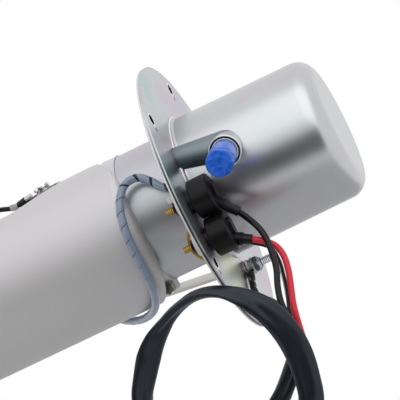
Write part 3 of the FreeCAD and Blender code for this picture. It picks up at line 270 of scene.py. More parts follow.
def rim_highlight_shade_group():
    """The sheet's cut edge with painted light: a pale band round the rim as a painted highlight under a thin dark
    line of painted shade, which fades out towards -X, the lit side.
    """
    tree, start, end = new_group(
        "Rim painted highlight and shade",
        [("Colour", "NodeSocketColor", colour(0.7, 0.7, 0.7)), ("Metal", "NodeSocketFloat", 1.0),
         ("Rim radius", "NodeSocketFloat", 0.095), ("Top", "NodeSocketFloat", 0.003)],
        [("Colour", "NodeSocketColor"), ("Metal", "NodeSocketFloat")])
    place = object_parts(tree)
    reach = calc(tree, "SQRT", square_distance(tree, place, 0.0, 0.0))
    edge = calc(tree, "GREATER_THAN", reach, start.outputs["Rim radius"])
    highlight_zone, shade_zone = (calc(tree, "LESS_THAN", place["Z"], calc(tree, "MULTIPLY", start.outputs["Top"], share))
                          for share in (HIGHLIGHT_SHARE, SHADE_LINE_SHARE))
    shade_side = fade(tree, place["X"], *SHADE_FADE_FROM_TO)
    # band is the pale painted highlight; line is the dark painted shade above it, fading out on the lit -X side
    band = calc(tree, "MULTIPLY", edge, highlight_zone)
    line = calc(tree, "MULTIPLY", calc(tree, "MULTIPLY", edge, shade_side), calc(tree, "SUBTRACT", shade_zone, highlight_zone))
    highlighted = blend_colour(tree, band, start.outputs["Colour"], colour(0.95, 0.97, 0.97))
    highlighted_and_shaded = blend_colour(tree, line, highlighted, colour(0.04, 0.045, 0.05))
    # The painted highlight and shade are made non-metal so that their painted tone shows
    metal = calc(tree, "MULTIPLY_ADD", calc(tree, "MAXIMUM", band, line), -0.95, start.outputs["Metal"], clamp=True)
    tree.links.new(highlighted_and_shaded, end.inputs["Colour"])
    tree.links.new(metal, end.inputs["Metal"])
    return tree


PATCH_X, PATCH_Y, PATCH_RADIUS = 47, -38, 32
# Width of the painted highlight round each bolt hole
HOLE_HIGHLIGHT_WIDTH = 1.0


def flange_stain_and_light_group():
    """Painted shade on the bolt holes' walls, a painted highlight round each hole's edge, and a yellowed patch
    beside the ground stud.
    """
    tree, start, end = new_group(
        "Flange stain and painted light", [("Colour", "NodeSocketColor", colour(0.7, 0.7, 0.7))], [("Colour", "NodeSocketColor")])
    place = object_parts(tree)
    angles = [math.radians(FIRST_BOLT_ANGLE + step * 360 / BOLT_COUNT) for step in range(BOLT_COUNT)]
    squares = [square_distance(tree, place, BOLT_CIRCLE * math.cos(angle), BOLT_CIRCLE * math.sin(angle))
               for angle in angles]
    nearest = squares[0]
    for square in squares[1:]:
        nearest = calc(tree, "MINIMUM", nearest, square)
    reach = calc(tree, "SQRT", nearest)
    square = square_distance(tree, place, PATCH_X, PATCH_Y)
    patch = calc(tree, "MULTIPLY_ADD", square, -1 / (PATCH_RADIUS * MM) ** 2, 1.0, clamp=True)
    shade = blend_colour(tree, calc(tree, "MULTIPLY", patch, 1.4, clamp=True), start.outputs["Colour"],
                         colour(0.53, 0.55, 0.44))
    # Round each bolt hole a pale painted highlight, then near-black painted shade on the hole's wall
    for extra, tone in ((HOLE_HIGHLIGHT_WIDTH, colour(0.92, 0.93, 0.90)), (0.06, colour(0.035, 0.03, 0.012))):
        near = calc(tree, "LESS_THAN", reach, (BOLT_HOLE_RADIUS + extra) * MM)
        shade = blend_colour(tree, near, shade, tone)
    tree.links.new(shade, end.inputs["Colour"])
    return tree


SURFACE = surface_group()
FILM = film_group()
RIM_HIGHLIGHT_SHADE = rim_highlight_shade_group()
FLANGE_STAIN_AND_LIGHT = flange_stain_and_light_group()


def use_group(tree, group, values):
    """Place a shared group in a material with its own values."""
    node = tree.nodes.new("ShaderNodeGroup")
    node.node_tree = group
    for label, value in values.items():
        node.inputs[label].default_value = value
    return node


def material(name, base, metallic=0.0, rough=0.4, blotches=0.1, grain=0.1, edge=0.0004, film=0.0, crevice_shade=0.0,
             **sockets):
    """A principled material with the shared wear and painted crevice shade, and the film where it is asked for."""
    made = bpy.data.materials.new(name)
    made.use_nodes = True
    tree = made.node_tree
    shader = tree.nodes["Principled BSDF"]
    wear_and_shade = use_group(tree, SURFACE, {"Colour": colour(*base), "Roughness": rough, "Blotches": blotches,
                                     "Grain": grain, "Edge radius": edge, "Crevice shade": crevice_shade})
    shade = wear_and_shade.outputs["Colour"]
    if film:
        skin = use_group(tree, FILM, {"Strength": film})
        tree.links.new(shade, skin.inputs["Colour"])
        shade = skin.outputs["Colour"]
    tree.links.new(shade, shader.inputs["Base Color"])
    tree.links.new(wear_and_shade.outputs["Roughness"], shader.inputs["Roughness"])
    tree.links.new(wear_and_shade.outputs["Normal"], shader.inputs["Normal"])
    shader.inputs["Metallic"].default_value = metallic
    for label, value in sockets.items():
        shader.inputs[label.replace("_", " ")].default_value = value
    made.diffuse_color = colour(*base)
    return made


ZINC = material("zinc plate", (0.535, 0.55, 0.565), 0.72, 0.36, 0.10, 0.3, edge=0.0005, film=0.95, crevice_shade=0.2)
CUP = material("plated cup", (0.54, 0.548, 0.562), 1.0, 0.33, 0.06, 0.12, film=0.25)
TUBE = material("satin tube", (0.62, 0.61, 0.62), 1.0, 0.62, 0.06, 0.2)
CANISTER = material("drawn canister", (0.51, 0.53, 0.55), 1.0, 0.40, 0.08, 0.12, film=0.45)
STEEL = material("plated steel", (0.82, 0.83, 0.84), 1.0, 0.13, 0.3, 0.2, edge=0.0003, crevice_shade=0.75)
NUT = material("shaded plate", (0.30, 0.33, 0.36), 1.0, 0.16, 0.4, 0.2, edge=0.0004, crevice_shade=0.8)
DARK_STEEL = material("dark steel", (0.30, 0.30, 0.30), 1.0, 0.34, 0.2, 0.2, edge=0.0002)
TIN = material("tinned terminal", (0.58, 0.58, 0.57), 1.0, 0.25, 0.2, 0.2, edge=0.0002, crevice_shade=0.9)
STRAP = material("strap", (0.70, 0.69, 0.66), 1.0, 0.42, 0.15, 0.2, edge=0.0003)
BRASS = material("brass", (0.60, 0.38, 0.10), 1.0, 0.2, 0.2, 0.15, edge=0.0002, crevice_shade=0.9)
COPPER = material("copper", (0.72, 0.42, 0.26), 1.0, 0.3, 0.15, 0.15)
NYLON = material("nylon", (0.90, 0.90, 0.88), 0.0, 0.42, 0.08, 0.1)
RUBBER = material("black rubber", (0.007, 0.007, 0.008), 0.0, 0.36, 0.3, 0.4, edge=0.0006, Specular_IOR_Level=0.22)
PLASTIC = material("black plastic", (0.008, 0.008, 0.009), 0.0, 0.34, 0.2, 0.3, Specular_IOR_Level=0.3)
CAP = material("blue cap", (0.002, 0.105, 0.86), 0.0, 0.22, 0.15, 0.03, Specular_IOR_Level=0.28)
GALLERY = material("gallery", (0.22, 0.26, 0.29), 1.0, 0.48, 0.12, 0.15, edge=0.0006, crevice_shade=0.5)
BRIGHT = material("bright plate", (0.97, 0.98, 0.98), 0.75, 0.5, 0.1, 0.1, edge=0.0002, crevice_shade=0.1)
CLEAR = material("clear sleeve", (0.62, 0.64, 0.60), 0.0, 0.25, 0.2, 0.2, Transmission_Weight=0.3, Coat_Weight=0.4)
CLAMP = material("clamp zinc", (0.62, 0.60, 0.50), 0.9, 0.22, 0.25, 0.2, edge=0.0003, crevice_shade=0.6)
BAND = material("clamp band steel", (0.76, 0.77, 0.79), 0.35, 0.6, 0.10, 0.15, edge=0.0006)
# The foot's seam bead: near-white pink as a painted highlight
SEAM_HIGHLIGHT = material("seam plate with painted highlight", (1.0, 0.88, 0.90), 0.55, 0.24, 0.5, 0.3, edge=0.0002)
SHRINK = material("heat shrink", (0.006, 0.006, 0.007), 0.0, 0.32, 0.3, 0.6, Specular_IOR_Level=0.4)
PAD = material("fibre pad", (0.42, 0.43, 0.42), 0.0, 0.6, 0.25, 0.5, crevice_shade=0.9)
RED = material("red insulation", (0.93, 0.030, 0.065), 0.0, 0.36, 0.1, 0.1, Specular_IOR_Level=0.4)
BLACK = material("black insulation", (0.007, 0.008, 0.010), 0.0, 0.2, 0.15, 0.1, Specular_IOR_Level=0.26)
WHITE = material("white insulation", (0.82, 0.82, 0.82), 0.0, 0.34, 0.06, 0.1)
OCHRE = material("ochre insulation", (0.60, 0.36, 0.06), 0.0, 0.35, 0.1, 0.1)
SLEEVE = material("loom sleeve", (0.011, 0.014, 0.019), 0.0, 0.34, 0.25, 0.35, Specular_IOR_Level=0.42,
                  Specular_Tint=colour(0.78, 0.88, 1.0))
WRAP = material("spiral wrap", (0.37, 0.47, 0.64), 0.0, 0.3, 0.15, 0.1, Transmission_Weight=0.2, Coat_Weight=0.5)
FERRITE = material("ferrite", (0.07, 0.07, 0.075), 0.0, 0.6, 0.2, 0.4)
CORE = material("laminations", (0.30, 0.29, 0.28), 1.0, 0.5, 0.2, 0.4)
CARBON = material("carbon", (0.05, 0.05, 0.05), 0.0, 0.5, 0.2, 0.3)
MOULDING = material("grey moulding", (0.16, 0.16, 0.17), 0.0, 0.5, 0.1, 0.3)
CASTING = material("pump casting", (0.62, 0.62, 0.62), 1.0, 0.42, 0.2, 0.4)
BRONZE = material("bronze", (0.62, 0.42, 0.22), 1.0, 0.5, 0.2, 0.4)
PAPER = material("filter paper", (0.78, 0.70, 0.52), 0.0, 0.85, 0.1, 0.6)
MESH = material("strainer mesh", (0.22, 0.24, 0.25), 0.0, 0.7, 0.1, 0.8)

FINISHES = [
    (ZINC, ["mounting_flange"]),
    (CUP, ["motor_cup", "outlet_boss"]),
    (GALLERY, ["outlet_gallery"]),
    (TUBE, ["outer_tube", "tube_base"]),
    (CANISTER, ["pump_canister"]),
    (STEEL, ["ground_washers", "ground_spring_washer", "earth_screw", "earth_washers", "motor_shaft"]),
    (NUT, ["ground_nut"]),
    (CLAMP, ["clamp_screw"]),
    (BAND, ["clamp_band"]),
    (STRAP, ["support_strap"]),
    (TIN, ["ground_ring_terminal", "earth_ring_terminal"]),
    (BRASS, ["outlet_nipple"]),
    (COPPER, ["commutator"]),
    (RUBBER, ["terminal_boot_a", "terminal_boot_b", "cable_grommet", "earth_wire_grommet", "cable_entry"]),
    (PLASTIC, ["terminal_insulators", "boot_sleeves", "harness_plug", "cable_tie", "terminal_nuts"]),
    (CAP, ["outlet_cap"]),
    (PAD, ["earth_pad"]),
    (DARK_STEEL, ["motor_case"]),
    (FERRITE, ["field_magnets"]),
    (CORE, ["armature"]),
    (CARBON, ["brushes"]),
    (MOULDING, ["brush_holder", "impeller", "check_poppet", "outlet_tower"]),
    (CASTING, ["pump_upper_housing", "pump_lower_housing"]),
    (BRONZE, ["bearings"]),
    (PAPER, ["filter_element"]),
    (MESH, ["inlet_strainer"]),
]


def through_group(made, node):
    """Put a group between a material's colour and its shader."""
    tree = made.node_tree
    shader = tree.nodes["Principled BSDF"]
    tree.links.new(shader.inputs["Base Color"].links[0].from_socket, node.inputs["Colour"])
    tree.links.new(node.outputs["Colour"], shader.inputs["Base Color"])
    return shader


def flange_finish(made):
    """The flange's cut rim with its painted highlight and shade, the painted highlight and shade round its holes,
    and a yellowed patch.
    """
    tree = made.node_tree
    rim = use_group(tree, RIM_HIGHLIGHT_SHADE, {"Metal": 1.0, "Rim radius": FLANGE_RIM * MM, "Top": FLANGE_TOP * MM})
    shader = through_group(made, rim)
    tree.links.new(rim.outputs["Metal"], shader.inputs["Metallic"])
    through_group(made, use_group(tree, FLANGE_STAIN_AND_LIGHT, {}))


SKIRT_FROM_TO, CAP_END_FROM_TO = (-86.667, -64.444), (-83, -88)


def moulded_cap(made):
    """The cap's paler thin skirt, its deep blue end and the dents of a soft moulding."""
    tree = made.node_tree
    shader = tree.nodes["Principled BSDF"]
    place = object_parts(tree)
    skirt = fade(tree, place["Y"], *SKIRT_FROM_TO)
    closed_end = fade(tree, place["Y"], *CAP_END_FROM_TO)
    dents = tree.nodes.new("ShaderNodeTexVoronoi")
    dents.feature = "SMOOTH_F1"
    dents.inputs["Scale"].default_value = 170.0
    dents.inputs["Smoothness"].default_value = 0.12
    tree.links.new(tree.nodes.new("ShaderNodeTexCoord").outputs["Object"], dents.inputs["Vector"])
    hollow = tree.nodes.new("ShaderNodeBump")
    hollow.inputs["Distance"].default_value = 4 * MM
    tree.links.new(calc(tree, "MULTIPLY_ADD", closed_end, 0.9, 0.04), hollow.inputs["Strength"])
    tree.links.new(dents.outputs["Distance"], hollow.inputs["Height"])
    tree.links.new(shader.inputs["Normal"].links[0].from_socket, hollow.inputs["Normal"])
    tree.links.new(hollow.outputs[0], shader.inputs["Normal"])
    paler = calc(tree, "MULTIPLY", calc(tree, "MULTIPLY", dents.outputs["Distance"], 0.9, clamp=True), closed_end)
    shade = blend_colour(tree, paler, shader.inputs["Base Color"].links[0].from_socket, colour(0.02, 0.22, 0.95))
    shade = blend_colour(tree, calc(tree, "MULTIPLY", skirt, 0.7), shade, colour(0.07, 0.33, 0.90))
    tree.links.new(shade, shader.inputs["Base Color"])


def paint_nodes():
    """Give every CAD node that stays in view its own finish."""
    for made, names in FINISHES:
        for name in names:
            for socket in NODES[name].material_slots:
                socket.material = made


# The camera's place and directions

VIEW_RIGHT = Vector((0.43549, 0.1818, 0.88165))
VIEW_UP = Vector((-0.9002, 0.08819, 0.42646))
VIEW_BACK = Vector((-0.00022, -0.97937, 0.20206))
EYE = Vector((0.0, -1.3196, 0.2683))


# Cords

BLACK_ROUTE = [(18.1, -66.5, 29.4), (28.8, -66, 35.4), (38.9, -70.6, 38.6), (49.5, -77.3, 39.3),
               (60.1, -84.3, 38.7), (69.8, -90.5, 35.2), (80.3, -95.5, 33.3), (92.8, -98.5, 34.5),
               (106.2, -98.5, 35.2)]
RED_ROUTE = [(37.5, -67, 29.7), (43.3, -68, 39.4), (52.1, -72.3, 44.4), (62.4, -78.3, 44.5), (73.2, -84.8, 42.2),
             (83.8, -90.5, 39.3), (95.3, -94.1, 37.8), (107, -94.1, 36.1)]
WHITE_ROUTE = [(33.4, -60.4, 20.7), (38.5, -56.5, 29), (44, -57.5, 36.5), (53, -63, 39), (62.5, -69.5, 38.2),
               (72, -77, 37.5), (82, -85.5, 36), (92.5, -90.8, 35.4), (104.6, -91.6, 33.8)]
THIN_ROUTE = [(35.4, -62.8, 20.9), (41, -61.5, 29.8), (48, -65, 38.5), (58, -71.5, 40.3), (68, -77.8, 39.2),
              (76.2, -84, 38.3), (84.2, -90.5, 35.8), (93.7, -94.8, 34.4), (104.3, -94.9, 32.9)]
GROUND_ROUTE = [(65.8, -13.5, 6.3), (73, -23, 8.5), (75.3, -35, 12), (75.4, -48.5, 16.5), (75.8, -61.9, 21.1),
                (78.4, -74.1, 26.6), (83.8, -84.9, 31.2), (92.3, -93.4, 32.4), (103.6, -98.3, 31.8)]
LOOM_ROUTE = [(106, -96, 34.5), (118.6, -96, 23.4), (130.9, -96, 11.4), (141, -96, -2), (147.6, -96.5, -17),
              (149.5, -97.5, -32.7), (146.5, -99.2, -47.7), (139, -102, -60.5), (127.5, -105.4, -69.6),
              (113.5, -108.4, -73.2), (96.9, -110.3, -70.9), (84.1, -110, -61.6), (71.6, -110, -52),
              (62.1, -110, -39.3), (54.7, -110, -25.4), (51.3, -110, -9.8), (56.4, -110, 5.5), (66.7, -110, 17.6),
              (79.7, -110, 26.5), (94.7, -110, 31.6), (110.4, -110, 33.2), (125.9, -110, 31.3), (141, -110, 28),
              (151.6, -110, 19.5), (159.5, -109.4, 6), (163.2, -108.6, -8), (163, -108, -22)]
CABLE_ROUTE = [(-13.5, -50.6, -5.5), (-17.3, -50.4, -12.3), (-23.7, -48.3, -17.2), (-29.5, -46.2, -22.7),
               (-31.9, -45.6, -29.5), (-29.8, -47.2, -36.2), (-24.3, -50.3, -40.8), (-17.3, -53.5, -43.5),
               (-9.8, -55.9, -45), (-2.1, -57, -46), (5.6, -56.9, -46.6), (13.3, -55.6, -46.9),
               (20.8, -53.2, -47.2), (27.8, -49.8, -47.7), (34.3, -45.5, -48.7), (40, -40.4, -50.3),
               (44.9, -34.8, -52.5), (48.9, -28.7, -55.4), (51.9, -22.4, -58.9), (54.1, -16, -62.9),
               (55.5, -9.6, -67.2), (56.3, -3.3, -71.9), (56.6, 2.8, -76.7), (56.2, 8.9, -81.6),
               (55.2, 14.7, -86.7), (53.5, 20.4, -91.8), (51.2, 25.7, -97.1), (48.6, 30.6, -102.6)]
EARTH_ROUTE = [(-51, 0, -117.3), (-50, 0, -123.8), (-52.4, 0.1, -130.3), (-54.4, 0.3, -136.4),
               (-55.1, 0.6, -143.4), (-54, 0.7, -150.2), (-51.8, 0.4, -156.4)]
LEAD_ROUTE = [(11, -62, -0.1), (12.8, -62, -4.6), (16.8, -62, -8.2), (22, -62, -10.4), (27.8, -62, -10.4),
              (33, -62, -8.2), (37, -62, -4.6), (38.8, -62, -0.1)]

# Short sleeves on the ground wire and the earth wire
LUG_SLEEVE_ROUTE = [(60.0, -6.0, 6.3), (63, -10, 6.4), (65.8, -13.5, 6.3), (69.6, -18.6, 6.3), (72.2, -23.4, 6.7)]
CRIMP_BAND_ROUTE = [(-51.6, 0, -113.6), (-51.2, 0, -115.6), (-51, 0, -117.3), (-50.6, 0, -119.4)]
EARTH_SLEEVE_ROUTE = [(-50.2, 0, -120.4), (-50.4, 0, -122.2), (-50.7, 0.05, -124), (-51.1, 0.08, -125.8)]

# The loom's flat sleeve: place along the route, half width, half thickness, turn of its flat side in degrees
SLEEVE_FORM = [(0, 6.4, 5.6, 60), (1.5, 7.2, 4.8, 45), (3, 8.1, 3.8, 20), (5, 8.2, 3.7, 40), (7, 8.0, 3.8, 90),
               (9, 8.0, 3.8, 135), (9.5, 8.0, 3.8, 146), (11.2, 8.3, 3.6, 157), (12.1, 8.3, 3.6, 139),
               (12.9, 8.3, 3.5, 114), (13.8, 8.3, 3.6, 101), (14.6, 8.3, 3.6, 92), (15.5, 8.3, 3.7, 76),
               (16.4, 8.3, 3.7, 47), (17.2, 8.3, 3.7, 20), (18, 8.5, 3.6, 6), (18.8, 8.8, 3.5, 0),
               (19.7, 8.6, 3.5, 0), (21.4, 8.1, 3.6, 8), (22, 8.1, 3.7, 12), (24, 7.2, 4.6, 20),
               (25, 6.0, 5.4, 20)]


def route_curve(name, points, radius):
    """A smooth open spline that takes the route's points as its control points."""
    data = bpy.data.curves.new(name, "CURVE")
    data.dimensions = "3D"
    data.resolution_u = 12
    data.bevel_depth = radius * MM
    data.bevel_resolution = 6
    data.use_fill_caps = True
    spline = data.splines.new("NURBS")
    spline.points.add(len(points) - 1)
    for point, place in zip(spline.points, points):
        point.co = (*mm(*place), 1.0)
    spline.order_u = 3
    spline.use_endpoint_u = True
    obj = bpy.data.objects.new(name, data)
    bpy.context.collection.objects.link(obj)
    return obj


def route_line(name, points):
    """The places along a route's spline, as its mesh without a bevel gives them."""
    curve = route_curve(name, points, 0.0)
    mesh = bpy.data.meshes.new_from_object(curve)
    line = [vertex.co.copy() for vertex in mesh.vertices]
    bpy.data.objects.remove(curve)
    bpy.data.meshes.remove(mesh)
    return line


def tangents(line):
    count = len(line)
    return [(line[min(i + 1, count - 1)] - line[max(i - 1, 0)]).normalized() for i in range(count)]


def mesh_piece(name, spots, faces):
    data = bpy.data.meshes.new(name)
    data.from_pydata(spots, [], faces)
    data.update()
    obj = bpy.data.objects.new(name, data)
    bpy.context.collection.objects.link(obj)
    return obj


def tube_faces(rings, around):
    """Quads between rings of points, and a cap at each end."""
    faces = []
    for i in range(rings - 1):
        for k in range(around):
            right = (k + 1) % around
            faces.append((i * around + k, i * around + right, (i + 1) * around + right, (i + 1) * around + k))
    faces.append(tuple(reversed(range(around))))
    faces.append(tuple(range((rings - 1) * around, rings * around)))
    return faces


def sleeve_form(at):
    """The sleeve's half width, half thickness and turn at a place along its route."""
    for low, high in zip(SLEEVE_FORM, SLEEVE_FORM[1:]):
        if low[0] <= at <= high[0]:
            part = (at - low[0]) / (high[0] - low[0])
            return [low[i] + part * (high[i] - low[i]) for i in (1, 2, 3)]
    return list(SLEEVE_FORM[-1][1:])


LENS_SHARPNESS, DENT_DEPTH, FOLD_HEIGHT = 1.3, 0.42, 0.35


def sleeve_ring(centre, along, at, around, shrink=1.0):
    """One lens-shaped, slightly crumpled section of the flattened sleeve."""
    wide, thick, turn = sleeve_form(at)
    face = (VIEW_BACK - along * VIEW_BACK.dot(along)).normalized()
    side = along.cross(face)
    turn = math.radians(turn)
    flat = side * math.cos(turn) + face * math.sin(turn)
    up = face * math.cos(turn) - side * math.sin(turn)
    ring = []
    for k in range(around):
        angle = 2 * math.pi * k / around
        x = math.cos(angle)
        y = math.copysign(abs(math.sin(angle)) ** LENS_SHARPNESS, math.sin(angle))
        groove = math.exp(-((x - 0.25) / 0.32) ** 2)
        come_and_go = 0.5 + 0.5 * math.sin(at * 1.9 + (0 if y > 0 else 2))
        dent = 1.0 - DENT_DEPTH * groove * come_and_go
        fold = FOLD_HEIGHT * clouds.noise(Vector((at * 0.9, 2.3 * x, 1.7 * y)))
        ring.append(centre + (flat * x * (wide + fold) + up * y * (thick * dent + fold)) * MM * shrink)
    return ring


def loom_sleeve():
    """The flattened sleeve round the loom, open at its mouth where the strands go in."""
    line = route_line("loom_line", LOOM_ROUTE)
    along = tangents(line)
    steps = (len(line) - 1) / (len(LOOM_ROUTE) - 2)
    around, inside = 48, (8, 4, 0)
    spots = []
    for i in inside:
        spots += sleeve_ring(line[i], along[i], i / steps, around, 0.84)
    for i, spot in enumerate(line):
        spots += sleeve_ring(spot, along[i], i / steps, around)
    obj = mesh_piece("loom", spots, tube_faces(len(inside) + len(line), around))
    only(obj)
    bpy.ops.object.shade_smooth_by_angle(angle=math.radians(50))
    finish_piece(obj, "loom", SLEEVE)
    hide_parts("loom_sleeve")


def carried_frames(line):
    """Two directions square to the line at each place, carried along it without a twist."""
    along = tangents(line)
    first = along[0].orthogonal().normalized()
    frames = []
    for way in along:
        first = (first - way * first.dot(way)).normalized()
        frames.append((first, way.cross(first)))
    return frames


def spiral_wrap():
    """The clear band that winds round the sender cable, each turn just short of the next."""
    line = route_line("wrap_line", CABLE_ROUTE)
    frames = carried_frames(line)
    reach = [0.0]
    for low, high in zip(line, line[1:]):
        reach.append(reach[-1] + (high - low).length)
    width, turn_steps, across, inner, lift = 8.9 * MM, 28, 6, 2.65, 0.3
    loose_pitch, tight_pitch, loose_up_to, bare_end = 11.2 * MM, 9.25 * MM, 34 * MM, 16 * MM

    def spot(distance, angle, rise):
        radius = (inner + rise) * MM
        distance = min(max(distance, 0.0), reach[-1] - 1e-6)
        i = next(n for n in range(len(reach) - 1) if reach[n + 1] > distance)
        part = (distance - reach[i]) / (reach[i + 1] - reach[i])
        centre = line[i].lerp(line[i + 1], part)
        first = frames[i][0].lerp(frames[i + 1][0], part)
        second = frames[i][1].lerp(frames[i + 1][1], part)
        return centre + (first * math.cos(angle) + second * math.sin(angle)) * radius

    spots = []
    rows, start, angle = 0, -4.0 * MM, 0.0
    while start < reach[-1] - bare_end:
        for j in range(across + 1):
            spots.append(spot(start + width * j / across, angle, lift * j / across))
        start += (loose_pitch if start < loose_up_to else tight_pitch) / turn_steps
        angle += 2 * math.pi / turn_steps
        rows += 1
    step = across + 1
    faces = [(i * step + j, i * step + j + 1, (i + 1) * step + j + 1, (i + 1) * step + j)
             for i in range(rows - 1) for j in range(across)]
    obj = mesh_piece("spiral_wrap", spots, faces)
    wall = obj.modifiers.new("wall", "SOLIDIFY")
    wall.thickness = 0.4 * MM
    wall.offset = 1.0
    edge = obj.modifiers.new("edge", "BEVEL")
    edge.width = 0.14 * MM
    edge.segments = 2
    apply_all(obj)
    face_outwards(obj, 40)
    return finish_piece(obj, "spiral_wrap", WRAP)


def cord(name, points, radius, made, node, pieces=()):
    """A round cord that stands for its CAD tube."""
    obj = finish_piece(route_curve(name, points, radius), name, made)
    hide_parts(node)
    return obj


def make_cords():
    cord("black_wire", BLACK_ROUTE, 2.1, BLACK, "wire_black")
    cord("red_wire", RED_ROUTE, 2.1, RED, "wire_red")
    cord("white_wire", WHITE_ROUTE, 1.1, WHITE, "wire_white")
    cord("thin_wire", THIN_ROUTE, 1.1, BLACK, "wire_thin")
    lug_sleeve = shrink_sleeve("ground_lug_sleeve", LUG_SLEEVE_ROUTE, (2.75, 1.7), 0.5, 17, SHRINK)
    cord("ground_wire", GROUND_ROUTE, 1.1, BLACK, "wire_ground", pieces=[lug_sleeve])
    loom_sleeve()
    cord("sender_cable", CABLE_ROUTE, 2.6, BLACK, "wrapped_cable", pieces=[spiral_wrap()])
    band = shrink_sleeve("crimp_band", CRIMP_BAND_ROUTE, (2.5, 2.3), 0.15, 10, SHRINK)
    clear = shrink_sleeve("earth_sleeve", EARTH_SLEEVE_ROUTE, (2.35, 2.25), 0.2, 12, CLEAR)
    cord("earth_lead", EARTH_ROUTE, 1.7, BLACK, "earth_wire",
         pieces=[NODES["cable_tie"], band, clear])
    cord("inner_lead", LEAD_ROUTE, 1.1, OCHRE, "terminal_lead")


# Small fittings

THREAD_ROOT = 0.77


def threaded_stud(name, centre, low, high, radius, pitch, made):
    """A stud whose thread is cut ring by ring, with softened ends."""
    deselect()
    x, y = centre
    bpy.ops.mesh.primitive_cylinder_add(vertices=32, radius=radius * MM, depth=(high - low) * MM,
                                        location=mm(x, y, (low + high) / 2))
    obj = bpy.context.active_object
    bpy.ops.object.transform_apply(location=True, rotation=True, scale=True)
    bpy.ops.object.mode_set(mode="EDIT")
    heights = [low + cut * pitch / 2 for cut in range(1, int((high - low) / (pitch / 2)))]
    for height in heights:
        bpy.ops.mesh.select_all(action="SELECT")
        bpy.ops.mesh.bisect(plane_co=mm(x, y, height), plane_no=(0.0, 0.0, 1.0))
    bpy.ops.mesh.select_mode(type="VERT")
    bpy.ops.mesh.select_all(action="DESELECT")
    bpy.ops.object.mode_set(mode="OBJECT")
    for height in heights[::2]:
        for vertex in obj.data.vertices:
            vertex.select = vertex.select or abs(vertex.co.z - height * MM) < 1e-5
    bpy.ops.object.mode_set(mode="EDIT")
    bpy.ops.transform.resize(value=(THREAD_ROOT, THREAD_ROOT, 1.0), center_override=mm(x, y, 0))
    bpy.ops.object.mode_set(mode="OBJECT")
    ends = obj.modifiers.new("ends", "BEVEL")
    ends.width = 0.25 * MM
    ends.segments = 2
    ends.limit_method = "ANGLE"
    ends.angle_limit = math.radians(65)
    apply_all(obj)
    bpy.ops.object.shade_smooth_by_angle(angle=math.radians(25))
    return finish_piece(obj, name, made)


def turned_ring(name, outer, inner, low, high, soft, place, turn, made):
    """A ring bored through a disc, softened at its edges, then turned and set in its place."""
    deselect()
    bpy.ops.mesh.primitive_cylinder_add(vertices=64, radius=outer * MM, depth=(high - low) * MM,
                                        location=mm(0, 0, (low + high) / 2))
    obj = bpy.context.active_object
    bpy.ops.object.transform_apply(location=True, rotation=True, scale=True)
    bpy.ops.object.mode_set(mode="EDIT")
    pick_faces(obj, lambda face: abs(face.normal.z) > 0.9)
    bpy.ops.mesh.inset(thickness=(outer - inner) * MM)
    bpy.ops.mesh.bridge_edge_loops()
    bpy.ops.mesh.select_all(action="SELECT")
    bpy.ops.mesh.normals_make_consistent(inside=False)
    bpy.ops.object.mode_set(mode="OBJECT")
    edges = obj.modifiers.new("soft edges", "BEVEL")
    edges.width = soft * MM
    edges.segments = 3
    edges.limit_method = "ANGLE"
    obj.rotation_euler = turn
    obj.location = mm(*place)
    apply_all(obj)
    bpy.ops.object.shade_smooth_by_angle(angle=math.radians(40))
    return finish_piece(obj, name, made)


def outlet_rings():
    """The bright rim, black seal and bright inner ring that show round the cap."""
    rim = turned_ring("outlet_rim", 10.7, 9.9, 0.0, 2.2, 0.2, OUTLET_FACE, OUTLET_TURN, BRIGHT)
    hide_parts("outlet_seal_washer")
    seal = turned_ring("outlet_seal", 9.88, 8.75, 0.0, 2.1, 0.3, OUTLET_FACE, OUTLET_TURN, RUBBER)
    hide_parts("outlet_o_ring")
    turned_ring("outlet_inner_ring", 8.73, 7.95, 0.0, 2.7, 0.25, OUTLET_FACE, OUTLET_TURN, BRIGHT)


def foot_seam():
    """The bead where the cup's foot is joined to the flange, coloured near white as a painted highlight of the
    foot's bright edge.
    """
    deselect()
    bpy.ops.mesh.primitive_torus_add(major_segments=180, minor_segments=12, major_radius=CUP_FOOT_RADIUS * MM,
                                     minor_radius=0.65 * MM, location=mm(CUP_CENTRE_X, 0, FLANGE_TOP + 0.4))
    obj = apply_all(bpy.context.active_object)
    bpy.ops.object.shade_smooth()
    return finish_piece(obj, "foot_seam", SEAM_HIGHLIGHT)


def valve_spring():
    """The check valve's spring, which in the pump shortens as the poppet lifts, made here at one length as a wire's
    section screwed up its axis.
    """
    wire, coil, turns, steps = 0.6, 4.6, 5, 28
    deselect()
    bpy.ops.mesh.primitive_circle_add(vertices=12, radius=wire * MM, location=mm(coil, 0, 0),
                                      rotation=(math.radians(90), 0.0, 0.0))
    obj = bpy.context.active_object
    bpy.ops.object.transform_apply(location=True, rotation=True, scale=True)
    coils = obj.modifiers.new("coils", "SCREW")
    coils.screw_offset = (VALVE_SPRING_TOP - VALVE_SPRING_LOW - 2 * wire) / turns * MM
    coils.iterations = turns
    coils.steps = coils.render_steps = steps
    obj.location = mm(VALVE_X, 0, VALVE_SPRING_LOW + wire)
    apply_all(obj)
    bpy.ops.object.mode_set(mode="EDIT")
    bpy.ops.mesh.select_all(action="SELECT")
    bpy.ops.mesh.fill_holes(sides=16)
    bpy.ops.object.mode_set(mode="OBJECT")
    face_outwards(obj, 50)
    finish_piece(obj, "valve_spring", STEEL)
    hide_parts("check_spring")
    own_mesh(obj)


def nylon_cup(name, x, y, replaced=False):
    """An insulating washer under the flange, a plain ring open downwards round its nut."""
    obj = turned_ring(name, 7.6, 4.9, -5.6, 0.3, 0.4, (x, y, 0), (0.0, 0.0, 0.0), NYLON)
    if replaced:
        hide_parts("terminal_washers")
    return obj


